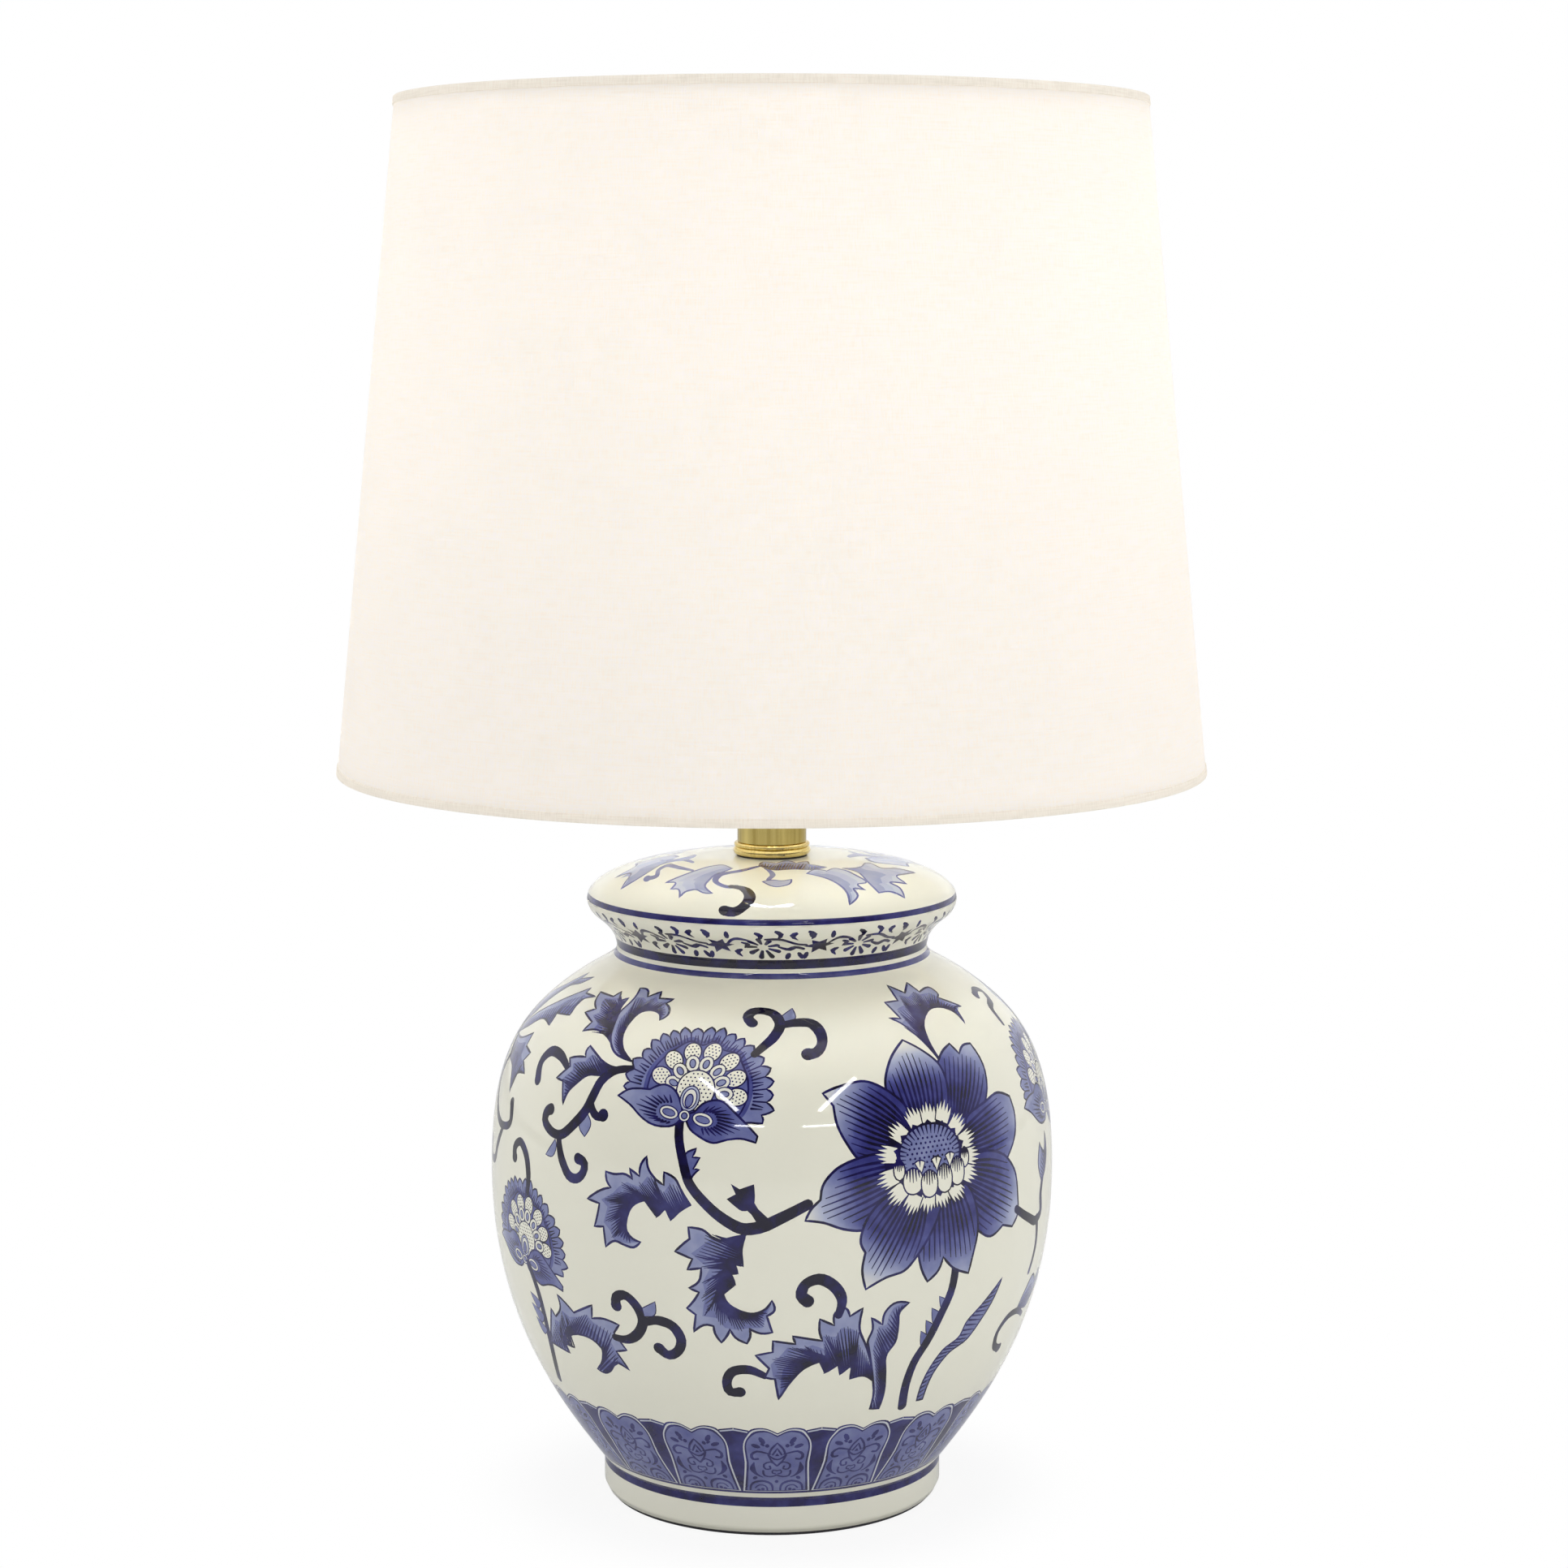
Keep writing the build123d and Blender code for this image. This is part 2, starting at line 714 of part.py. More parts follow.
with BuildPart() as shade_spider:
    with BuildSketch(Plane.XY.offset(hub_level)):
        Circle(hub_radius)
    extrude(amount=hub_thickness)
    with BuildSketch(Plane.XZ):
        with Locations(top_wire_point):
            Circle(ring_wire_radius)
    revolve(axis=Axis.Z)
    for arm_index in range(arm_count):
        arm_angle = arm_first_angle + arm_index * 360 / arm_count
        arm_plane = Plane.XZ.rotated((0, 0, arm_angle))
        with BuildLine(arm_plane) as arm_path:
            FilletPolyline(
                (hub_radius - arm_radius, arm_level),
                (arm_flat_reach, arm_level),
                top_wire_point,
                radius=arm_bend_radius,
            )
        with BuildSketch(Plane(arm_path.line @ 0, z_dir=arm_path.line % 0)):
            Circle(arm_radius)
        sweep(path=arm_path.line)
    with BuildSketch(Plane.XY.offset(hub_level - arm_radius)):
        Circle(stud_radius + slip_gap)
    extrude(amount=hub_thickness + 2 * arm_radius, mode=Mode.SUBTRACT)
shade_spider.part.label = "shade_spider"
export_step(shade_spider.part, "parts/shade_spider.step")

with BuildPart() as shade_bottom_wire:
    with BuildSketch(Plane.XZ):
        with Locations(bottom_wire_point):
            Circle(ring_wire_radius)
    revolve(axis=Axis.Z)
shade_bottom_wire.part.label = "shade_bottom_wire"
export_step(shade_bottom_wire.part, "parts/shade_bottom_wire.step")

with BuildPart() as shade_liner:
    with BuildSketch(Plane.XZ):
        with BuildLine():
            Polyline(
                *wall_band(
                    hem_thickness, shade_slant - hem_thickness,
                    liner_depth, liner_depth + liner_thickness,
                ),
                close=True,
            )
        make_face()
    revolve(axis=Axis.Z)
shade_liner.part.label = "shade_liner"
export_step(shade_liner.part, "parts/shade_liner.step")

with BuildPart() as shade_cloth:
    with BuildSketch(Plane.XZ):
        with BuildLine():
            Polyline(
                *wall_band(
                    hem_thickness, shade_slant - hem_thickness, cloth_depth, liner_depth
                ),
                close=True,
            )
        make_face()
    revolve(axis=Axis.Z)
shade_cloth.part.label = "shade_cloth"
export_step(shade_cloth.part, "parts/shade_cloth.step")

with BuildPart() as shade_bottom_hem:
    with BuildSketch(Plane.XZ):
        with BuildLine():
            Polyline(*hem_outline(0, 1), close=True)
        make_face()
    revolve(axis=Axis.Z)
shade_bottom_hem.part.label = "shade_bottom_hem"
export_step(shade_bottom_hem.part, "parts/shade_bottom_hem.step")

notch_top_level = top_wire_point[1] + arm_radius + loose_gap
notch_radius = top_wire_point[0] - ring_wire_radius

with BuildPart() as shade_top_hem:
    with BuildSketch(Plane.XZ):
        with BuildLine():
            Polyline(*hem_outline(shade_slant, -1), close=True)
        make_face()
    revolve(axis=Axis.Z)
    with Locations((0, 0, notch_top_level)):
        with PolarLocations(notch_radius, arm_count, start_angle=arm_first_angle):
            Box(
                2 * ring_wire_radius,
                2 * (arm_radius + loose_gap),
                2 * hem_inner_leg,
                align=(Align.CENTER, Align.CENTER, Align.MAX),
                mode=Mode.SUBTRACT,
            )
shade_top_hem.part.label = "shade_top_hem"
export_step(shade_top_hem.part, "parts/shade_top_hem.step")

# ================================================================ socket
cap_rim_radius = shell_radius + slip_gap + cap_wall
cap_neck_top_level = socket_level + cap_neck_height
cap_spans = [
    (
        (cap_neck_radius, cap_neck_top_level), 0, cap_foot_pull,
        (cap_rim_radius, shell_level), 90, cap_side_pull,
    )
]

with BuildPart() as socket_cap:
    with BuildSketch(Plane.XZ):
        with BuildLine():
            draw_wall(cap_spans, cap_wall)
        make_face()
        with Locations((tube_radius + slip_gap, socket_level)):
            Rectangle(
                cap_neck_radius - tube_radius - slip_gap,
                cap_neck_height + cap_wall,
                align=(Align.MIN, Align.MIN),
            )
        with Locations((cap_rim_radius, shell_level)):
            Rectangle(cap_wall, shell_overlap, align=(Align.MAX, Align.MIN))
    revolve(axis=Axis.Z)
    with BuildSketch(Plane.XZ):
        with Locations((0, socket_level + set_screw_drop)):
            Circle(set_screw_radius + slip_gap)
    extrude(amount=-cap_neck_radius - loose_gap, mode=Mode.SUBTRACT)
socket_cap.part.label = "socket_cap"
export_step(socket_cap.part, "parts/socket_cap.step")

with BuildPart() as socket_set_screw:
    with BuildSketch(Plane.XZ.offset(-tube_radius - slip_gap)):
        with Locations((0, socket_level + set_screw_drop)):
            Circle(set_screw_radius)
    extrude(amount=-(cap_neck_radius - tube_radius - slip_gap))
    with BuildSketch(Plane.XZ.offset(-cap_neck_radius)):
        with Locations((0, socket_level + set_screw_drop)):
            Circle(set_screw_head_radius)
    extrude(amount=-set_screw_head_height)
    fillet(socket_set_screw.edges().group_by(Axis.Y)[-1], radius=set_screw_head_height / 4)
    with BuildSketch(Plane.XZ.offset(-cap_neck_radius - set_screw_head_height)):
        with Locations((0, socket_level + set_screw_drop)):
            Rectangle(3 * set_screw_head_radius, set_screw_head_radius / 4)
    extrude(amount=set_screw_head_height / 2, mode=Mode.SUBTRACT)
socket_set_screw.part.label = "socket_set_screw"
export_step(socket_set_screw.part, "parts/socket_set_screw.step")

with BuildPart() as socket_shell:
    with BuildSketch(Plane.XY.offset(shell_level)):
        Circle(shell_radius)
        Circle(shell_radius - shell_wall, mode=Mode.SUBTRACT)
    extrude(amount=shell_top_level - shell_level)
    with BuildSketch(Plane.XZ):
        with Locations((0, switch_level)):
            Circle(switch_window_radius)
    extrude(amount=shell_radius + loose_gap, mode=Mode.SUBTRACT)
socket_shell.part.label = "socket_shell"
export_step(socket_shell.part, "parts/socket_shell.step")

paper_radius = shell_radius - shell_wall - slip_gap

with BuildPart() as socket_paper_sleeve:
    with BuildSketch(Plane.XY.offset(shell_level + paper_setback)):
        Circle(paper_radius)
        Circle(paper_radius - paper_thickness, mode=Mode.SUBTRACT)
    extrude(amount=shell_top_level - shell_level - 2 * paper_setback)
    with BuildSketch(Plane.XZ):
        with Locations((0, switch_level)):
            Circle(switch_window_radius)
    extrude(amount=shell_radius, mode=Mode.SUBTRACT)
socket_paper_sleeve.part.label = "socket_paper_sleeve"
export_step(socket_paper_sleeve.part, "parts/socket_paper_sleeve.step")

terminal_level = block_level + block_height / 2
terminal_sides = [0, 180]

with BuildPart() as socket_block:
    with BuildSketch(Plane.XY.offset(block_level)):
        Circle(block_radius)
        with PolarLocations(terminal_flat, len(terminal_sides)):
            Rectangle(
                block_radius,
                2 * (terminal_head_radius + loose_gap),
                align=(Align.MIN, Align.CENTER),
                mode=Mode.SUBTRACT,
            )
    extrude(amount=block_height)
    with BuildSketch(Plane.YZ):
        with Locations((0, terminal_level)):
            Circle(terminal_shank_radius + slip_gap)
    extrude(amount=block_radius, both=True, mode=Mode.SUBTRACT)
    with BuildSketch(Plane.XZ.offset(block_radius - switch_shaft_depth)):
        with Locations((0, switch_level)):
            Circle(switch_shaft_radius + slip_gap)
    extrude(amount=block_radius, mode=Mode.SUBTRACT)
socket_block.part.label = "socket_block"
export_step(socket_block.part, "parts/socket_block.step")

with BuildPart() as socket_terminal_screws:
    for terminal_angle in terminal_sides:
        terminal_plane = Plane.YZ.rotated((0, 0, terminal_angle))
        with BuildSketch(terminal_plane.offset(terminal_flat - terminal_shank_length)):
            with Locations((0, terminal_level)):
                Circle(terminal_shank_radius)
        extrude(amount=terminal_shank_length)
        with BuildSketch(terminal_plane.offset(terminal_flat)):
            with Locations((0, terminal_level)):
                Circle(terminal_head_radius)
        extrude(amount=terminal_head_height)
        with BuildSketch(terminal_plane.offset(terminal_flat + terminal_head_height)):
            with Locations((0, terminal_level)):
                Rectangle(3 * terminal_head_radius, terminal_head_radius / 4)
        extrude(amount=-terminal_head_height / 2, mode=Mode.SUBTRACT)
socket_terminal_screws.part.label = "socket_terminal_screws"
export_step(socket_terminal_screws.part, "parts/socket_terminal_screws.step")

contact_hole_radius = hypot(contact_half_length, contact_width / 2) + loose_gap

with BuildPart() as socket_screw_shell:
    with BuildSketch(Plane.XY.offset(block_top_level)):
        Circle(screw_shell_inner_radius + screw_shell_wall)
    extrude(amount=screw_shell_height)
    with BuildSketch(Plane.XY.offset(block_top_level + screw_shell_wall)):
        Circle(screw_shell_inner_radius)
    extrude(amount=screw_shell_height, mode=Mode.SUBTRACT)
    with BuildSketch(Plane.XY.offset(block_top_level)):
        Circle(contact_hole_radius)
    extrude(amount=screw_shell_wall, mode=Mode.SUBTRACT)
socket_screw_shell.part.label = "socket_screw_shell"
export_step(socket_screw_shell.part, "parts/socket_screw_shell.step")

with BuildPart() as socket_contact:
    with BuildSketch(Plane.XZ):
        with BuildLine():
            FilletPolyline(
                (-contact_half_length, block_top_level + contact_thickness / 2),
                (-contact_half_length / 2, block_top_level + contact_thickness / 2),
                (0, block_top_level + contact_rise + contact_thickness / 2),
                (contact_half_length, block_top_level + contact_rise + contact_thickness / 2),
                radius=contact_thickness,
            )
        trace(line_width=contact_thickness)
    extrude(amount=contact_width / 2, both=True)
socket_contact.part.label = "socket_contact"
export_step(socket_contact.part, "parts/socket_contact.step")

# ================================================================ turn switch
shaft_inner_reach = block_radius - switch_shaft_depth + loose_gap
knob_reach = shell_radius + knob_standoff

with BuildPart() as switch_shaft:
    with BuildSketch(Plane.XZ.offset(shaft_inner_reach)):
        with Locations((0, switch_level)):
            Circle(switch_shaft_radius)
    extrude(amount=knob_reach + knob_bore_depth - shaft_inner_reach)
switch_shaft.part.label = "switch_shaft"
export_step(switch_shaft.part, "parts/switch_shaft.step")

with BuildPart() as switch_knob:
    with BuildSketch(Plane.XZ.offset(knob_reach)):
        with Locations((0, switch_level)):
            Circle(knob_radius)
    with BuildSketch(Plane.XZ.offset(knob_reach + knob_length)):
        with Locations((0, switch_level)):
            Circle(knob_tip_radius)
    loft()
    fillet(switch_knob.edges().group_by(Axis.Y)[0], radius=knob_tip_radius / 4)
    with BuildSketch(Plane.XZ.offset(knob_reach)):
        with Locations((0, switch_level)):
            with PolarLocations(knob_radius + knob_flute_radius / 3, knob_flutes):
                Circle(knob_flute_radius)
    extrude(amount=knob_length, mode=Mode.SUBTRACT)
    with BuildSketch(Plane.XZ.offset(knob_reach)):
        with Locations((0, switch_level)):
            Circle(switch_shaft_radius)
    extrude(amount=knob_bore_depth, mode=Mode.SUBTRACT)
switch_knob.part.label = "switch_knob"
export_step(switch_knob.part, "parts/switch_knob.step")

# ================================================================ bulb
bulb_spans = [
    (
        (bulb_neck_radius, bulb_cap_top_level), 90, bulb_neck_pull,
        (bulb_radius, bulb_middle_level), 90, bulb_side_pull,
    )
]

with BuildPart() as bulb_glass:
    with BuildSketch(Plane.XZ):
        with BuildLine():
            draw_wall(bulb_spans, bulb_wall)
        make_face()
        with BuildLine():
            CenterArc((0, bulb_middle_level), bulb_radius, 0, 90)
            CenterArc((0, bulb_middle_level), bulb_radius - bulb_wall, 0, 90)
            Line((0, bulb_top_level - bulb_wall), (0, bulb_top_level))
            Line((bulb_radius - bulb_wall, bulb_middle_level), (bulb_radius, bulb_middle_level))
        make_face()
    revolve(axis=Axis.Z)
bulb_glass.part.label = "bulb_glass"
export_step(bulb_glass.part, "parts/bulb_glass.step")

thread_turns = int((bulb_cap_height - thread_pitch) / thread_pitch)

with BuildPart() as bulb_cap:
    with BuildSketch(Plane.XZ):
        with Locations((0, bulb_cap_level)):
            Rectangle(
                bulb_cap_radius - thread_depth, bulb_cap_height, align=(Align.MIN, Align.MIN)
            )
        with Locations((0, bulb_cap_level + bulb_insulator_height / 4)):
            for turn in range(thread_turns):
                with Locations((bulb_cap_radius - thread_depth, (turn + 0.5) * thread_pitch)):
                    Ellipse(thread_depth, thread_pitch / 4)
        with Locations((0, bulb_cap_level)):
            Rectangle(
                bulb_cap_radius - thread_depth - bulb_cap_wall,
                bulb_cap_height,
                align=(Align.MIN, Align.MIN),
                mode=Mode.SUBTRACT,
            )
    revolve(axis=Axis.Z)
    with BuildSketch(Plane.XY.offset(bulb_cap_top_level)):
        Circle(bulb_neck_radius)
        Circle(bulb_cap_radius - thread_depth - bulb_cap_wall, mode=Mode.SUBTRACT)
    extrude(amount=-bulb_cap_wall)
bulb_cap.part.label = "bulb_cap"
export_step(bulb_cap.part, "parts/bulb_cap.step")

with BuildPart() as bulb_insulator:
    with BuildSketch(Plane.XY.offset(bulb_cap_level)):
        Circle(bulb_cap_radius - thread_depth)
    with BuildSketch(Plane.XY.offset(bulb_insulator_level)):
        Circle(bulb_insulator_radius)
    loft()
bulb_insulator.part.label = "bulb_insulator"
export_step(bulb_insulator.part, "parts/bulb_insulator.step")

with BuildPart() as bulb_tip:
    with BuildSketch(Plane.XY.offset(bulb_tip_level)):
        Circle(bulb_tip_radius)
    extrude(amount=bulb_tip_height)
    fillet(bulb_tip.edges().group_by(Axis.Z)[0], radius=bulb_tip_height / 2)
bulb_tip.part.label = "bulb_tip"
export_step(bulb_tip.part, "parts/bulb_tip.step")
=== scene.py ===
# %% [markdown]
# # A ginger jar lamp, dressed for its portrait
#
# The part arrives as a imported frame: every piece is already the right size and in the right place. This
# lesson gives the pieces their surfaces. The porcelain gets its glaze and its blue painting, the shade its
# linen and the glow of the bulb behind it, and the brass its polish.
# Everything is in metres here. Sizes are written in millimetres, as a maker would, and `mm` turns them.

import math

import bpy
import numpy as np
from mathutils import Matrix, Vector
from mathutils.geometry import delaunay_2d_cdt


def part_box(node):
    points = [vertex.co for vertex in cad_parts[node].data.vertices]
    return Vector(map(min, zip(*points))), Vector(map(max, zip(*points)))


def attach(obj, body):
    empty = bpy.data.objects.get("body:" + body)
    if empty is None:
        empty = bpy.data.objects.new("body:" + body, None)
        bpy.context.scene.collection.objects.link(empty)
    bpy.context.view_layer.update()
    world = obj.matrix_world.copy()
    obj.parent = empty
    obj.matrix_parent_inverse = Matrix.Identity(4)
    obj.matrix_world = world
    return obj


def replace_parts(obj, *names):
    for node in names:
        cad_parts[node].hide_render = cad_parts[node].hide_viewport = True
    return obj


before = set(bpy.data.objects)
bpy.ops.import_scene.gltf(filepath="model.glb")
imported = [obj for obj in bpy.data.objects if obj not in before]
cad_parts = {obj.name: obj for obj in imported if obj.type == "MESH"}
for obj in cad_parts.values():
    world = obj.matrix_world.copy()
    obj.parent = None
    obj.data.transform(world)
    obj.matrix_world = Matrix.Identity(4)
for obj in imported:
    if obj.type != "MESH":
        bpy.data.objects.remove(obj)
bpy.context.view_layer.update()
mm = 0.001

# %% [markdown]
# ## The camera
#
# The photograph was taken from a little above the middle of the lamp, looking slightly down. The lens and
# the distance together decide how much the rims of the shade open into ellipses, so they were fitted to
# those two ellipses and not guessed.

# %% Camera
camera_place = (5 * mm, -1470.4 * mm, 486.7 * mm)
camera_pitch = 7.36  # degrees below the horizon

camera = bpy.data.objects.new("camera", bpy.data.cameras.new("camera"))
camera.data.sensor_width = 36
camera.data.lens = 82.75
camera.location = camera_place
camera.rotation_euler = (math.radians(90 - camera_pitch), 0, 0)
bpy.context.scene.collection.objects.link(camera)
bpy.context.scene.camera = camera
bpy.context.scene.view_settings.view_transform = "Standard"
print("camera", camera_place, "pitched down", camera_pitch)

# %% [markdown]
# ## Two small helpers for node trees
#
# Colours are written as hex, the way a paint maker lists them, and one function turns them to the linear
# values that shaders use. One more adds a node, sets it up and links it, for shaders and geometry alike.


# %% Helpers
def srgb(hex_colour):
    """The linear RGBA of a colour written as sRGB hex."""
    channels = [int(hex_colour[i : i + 2], 16) / 255 for i in (1, 3, 5)]
    linear = [c / 12.92 if c <= 0.04045 else ((c + 0.055) / 1.055) ** 2.4 for c in channels]
    return (*linear, 1.0)


def add_node(tree, kind, inputs=None, **settings):
    """Adds a node. inputs maps a socket's name or number to a value, or to the output it is linked from."""
    node = tree.nodes.new(kind)
    for name, value in settings.items():
        setattr(node, name, value)
    for socket, value in (inputs or {}).items():
        if isinstance(value, bpy.types.NodeSocket):
            tree.links.new(value, node.inputs[socket])
        else:
            node.inputs[socket].default_value = value
    return node


def new_finish(name, **constants):
    """A material with one Principled surface. Constants go straight on the shader's own sockets."""
    material = bpy.data.materials.new(name)
    material.use_nodes = True
    tree = material.node_tree
    surface = tree.nodes["Principled BSDF"]
    for socket, value in constants.items():
        surface.inputs[socket.replace("_", " ")].default_value = value
    return material, tree, surface


def wear(node_names, material):
    """Gives CAD nodes their finish, in every material slot of their meshes."""
    for node_name in node_names:
        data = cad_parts[node_name].data
        if not data.materials:
            data.materials.append(material)
        for index in range(len(data.materials)):
            data.materials[index] = material


print("a mid blue, in linear values:", [round(c, 3) for c in srgb("#48509A")])

# %% [markdown]
# ## The studio
#
# The lamp stands on a pale floor in front of a white backdrop. White is what the camera, polished metal and
# glass see; the light that falls on the lamp is set apart from it, so that the background is white and the
# lamp is still lit at a plain level. Behind the camera the room is dim, which is what keeps the dark
# blues deep: a glaze mirrors a few hundredths of whatever stands in front of it.

# %% World
dim_room = 0.10  # what the glaze mirrors from behind the camera
ambient_level = 0.63

world = bpy.data.worlds.new("studio")
bpy.context.scene.world = world
world.use_nodes = True
air = world.node_tree
air.nodes.clear()
ray = add_node(air, "ShaderNodeLightPath")
direction = add_node(air, "ShaderNodeTexCoord")
compass = add_node(air, "ShaderNodeSeparateXYZ", {0: direction.outputs["Generated"]})
mirrored = add_node(
    air,
    "ShaderNodeMapRange",
    {"Value": compass.outputs["Y"], "From Min": -0.45, "From Max": 0.35, "To Min": dim_room, "To Max": 1.0},
)
backdrop = add_node(air, "ShaderNodeBackground", {"Color": srgb("#FFFFFF"), "Strength": 1.0})
in_mirrors = add_node(
    air, "ShaderNodeBackground", {"Color": srgb("#FFFFFF"), "Strength": mirrored.outputs["Result"]}
)
ambient = add_node(air, "ShaderNodeBackground", {"Color": srgb("#FBFCFF"), "Strength": ambient_level})
seen = add_node(
    air,
    "ShaderNodeMath",
    {0: ray.outputs["Is Camera Ray"], 1: ray.outputs["Is Transmission Ray"]},
    operation="MAXIMUM",
)
lit_or_mirrored = add_node(
    air,
    "ShaderNodeMixShader",
    {0: ray.outputs["Is Glossy Ray"], 1: ambient.outputs[0], 2: in_mirrors.outputs[0]},
)
all_air = add_node(
    air, "ShaderNodeMixShader", {0: seen.outputs[0], 1: lit_or_mirrored.outputs[0], 2: backdrop.outputs[0]}
)
add_node(air, "ShaderNodeOutputWorld", {"Surface": all_air.outputs[0]})
print("world:", world.name)

# %% [markdown]
# The floor is one flat disc of paper. A white one would show its edge against the backdrop, so the camera
# sees plain white with only a share of the real light and shade, and just close to the foot.

# %% Floor
floor_radius = 3.0
shadow_reach = (0.075, 0.14)  # the shadow fades into plain white between these distances
shadow_share = 0.12  # how much of the light and shade on the floor the camera sees

bpy.ops.mesh.primitive_circle_add(vertices=96, radius=floor_radius, fill_type="NGON")
floor = bpy.context.object
floor.name = "floor"
paper, paper_tree, paper_surface = new_finish("studio_paper", Base_Color=srgb("#F2F2F0"), Roughness=0.9)
paper_ray = add_node(paper_tree, "ShaderNodeLightPath")
paper_place = add_node(paper_tree, "ShaderNodeTexCoord")
away = add_node(paper_tree, "ShaderNodeVectorMath", {0: paper_place.outputs["Object"]}, operation="LENGTH")
fade = add_node(
    paper_tree,
    "ShaderNodeMapRange",
    {
        "Value": away.outputs["Value"],
        "From Min": shadow_reach[0],
        "From Max": shadow_reach[1],
        "To Min": 1 - shadow_share,
        "To Max": 1.0,
    },
    interpolation_type="SMOOTHSTEP",
)
seen_white = add_node(
    paper_tree,
    "ShaderNodeMath",
    {0: fade.outputs["Result"], 1: paper_ray.outputs["Is Camera Ray"]},
    operation="MULTIPLY",
)
white_paper = add_node(paper_tree, "ShaderNodeEmission", {"Color": srgb("#FFFFFF"), "Strength": 1.0})
paper_mix = add_node(
    paper_tree,
    "ShaderNodeMixShader",
    {0: seen_white.outputs[0], 1: paper_surface.outputs[0], 2: white_paper.outputs[0]},
)
paper_tree.links.new(paper_mix.outputs[0], paper_tree.nodes["Material Output"].inputs["Surface"])
floor.data.materials.append(paper)
print("floor:", 2 * floor_radius, "m across")


# %% [markdown]
# Soft boxes light the lamp from the front and the sides. Narrow strips are what the glaze mirrors as crisp
# streaks: they light nothing else, but without them a glazed pot looks like matt paper.

# %% Lamps
shoulder_shine = (0, 0, 0.19)  # the strips face this point inside the jar's shoulder


def softbox(name, place, aim, width, height, watts):
    """A soft rectangular lamp at a place, turned towards a point. No surface mirrors it."""
    data = bpy.data.lights.new(name, "AREA")
    data.shape, data.size, data.size_y, data.energy = "RECTANGLE", width, height, watts
    lamp = bpy.data.objects.new(name, data)
    lamp.location = place
    lamp.rotation_euler = (Vector(aim) - Vector(place)).to_track_quat("-Z", "Y").to_euler()
    lamp.visible_glossy = False
    bpy.context.scene.collection.objects.link(lamp)


waist = (0, 0, 0.25)
softbox("key", (-1.1, -1.3, 1.5), waist, 1.2, 1.2, 6)
softbox("fill", (1.3, -1.2, 0.9), waist, 1.2, 1.2, 7)
softbox("rim_left", (-1.5, 0.5, 0.7), waist, 1.0, 1.4, 5)
softbox("rim_right", (1.5, 0.6, 0.7), waist, 1.0, 1.4, 4.5)


def strip_lamp(name, start, end, width, watts):
    """A narrow lamp from one point to another, facing the jar. It shows as a streak in the glaze."""
    start, end = Vector(start), Vector(end)
    middle = (start + end) / 2
    back = (middle - Vector(shoulder_shine)).normalized()
    along = (end - start - back * (end - start).dot(back)).normalized()
    data = bpy.data.lights.new(name, "AREA")
    data.shape, data.size, data.size_y, data.energy = "RECTANGLE", (end - start).length, width, watts
    lamp = bpy.data.objects.new(name, data)
    axes = Matrix((along, back.cross(along), back)).transposed()
    lamp.matrix_world = Matrix.Translation(middle) @ axes.to_4x4()
    lamp.visible_diffuse = False
    bpy.context.scene.collection.objects.link(lamp)


# Four strips around the camera, two steep ones and two level ones, leave the streaks on the jar's shoulder.
strip_lamp("steep_strip_right", (0.77, -0.78, 1.31), (0.50, -1.34, 0.89), 0.045, 2.4)
strip_lamp("level_strip_right", (0.33, -1.48, 0.68), (0.67, -1.37, 0.67), 0.022, 0.6)
strip_lamp("steep_strip_left", (-0.67, -0.83, 1.34), (-0.36, -1.38, 0.91), 0.045, 2.4)
strip_lamp("level_strip_left", (-0.39, -1.47, 0.69), (-0.08, -1.51, 0.69), 0.022, 0.5)

# %% [markdown]
# ## Plain finishes
#
# Most of the working parts keep their CAD shapes, and only need to look like what they are made of. A finish
# is a base colour, a roughness and, where it helps, a fine grain of bumps measured in millimetres.


# %% Grain
def add_grain(tree, surface, grain_mm, height_mm, stretch=(1, 1, 1), detail=3.0):
    """Fine bumps in Object coordinates, grain_mm apart, or longer or shorter along an axis by stretch."""
    place = add_node(tree, "ShaderNodeTexCoord")
    per_metre = [1 / (grain_mm * mm * s) for s in stretch]
    scaled = add_node(
        tree, "ShaderNodeMapping", {"Vector": place.outputs["Object"], "Scale": per_metre}
    )
    noise = add_node(
        tree, "ShaderNodeTexNoise", {"Vector": scaled.outputs[0], "Scale": 1.0, "Detail": detail}
    )
    bump = add_node(
        tree, "ShaderNodeBump", {"Height": noise.outputs["Fac"], "Distance": height_mm * mm, "Strength": 1.0}
    )
    tree.links.new(bump.outputs["Normal"], surface.inputs["Normal"])
    return noise


def tint_by(tree, surface, noise, dark, light):
    """Lets a noise drift the base colour between two close tints."""
    drift = add_node(
        tree,
        "ShaderNodeMix",
        {"Factor": noise.outputs["Fac"], "A": srgb(dark), "B": srgb(light)},
        data_type="RGBA",
    )
    tree.links.new(drift.outputs[2], surface.inputs["Base Color"])


# %% [markdown]
# The nodes that keep their CAD shape each get the finish of a real lamp part: felt, nylon, rubber, plated
# steel, enamelled wire, fibre paper, phenolic, aluminium, brass and glass. One function makes most of them.

# %% Finishes of the working parts
def plain_finish(name, node_names, grain_mm, height_mm, tints=(), stretch=(1, 1, 1), **constants):
    """A finish with a fine grain, worn by some nodes. With two tints, its colour drifts between them."""
    material, tree, surface = new_finish(name, **constants)
    grain = add_grain(tree, surface, grain_mm, height_mm, stretch)
    if tints:
        tint_by(tree, surface, grain, *tints)
    wear(node_names, material)


# Pressed wool felt under the foot and under the brass ring: soft, dark and fibrous.
plain_finish("wool_felt", ["foot_pad", "lid_washer"], 0.6, 0.15, ("#2B2A2C", "#46444A"), Roughness=1.0)

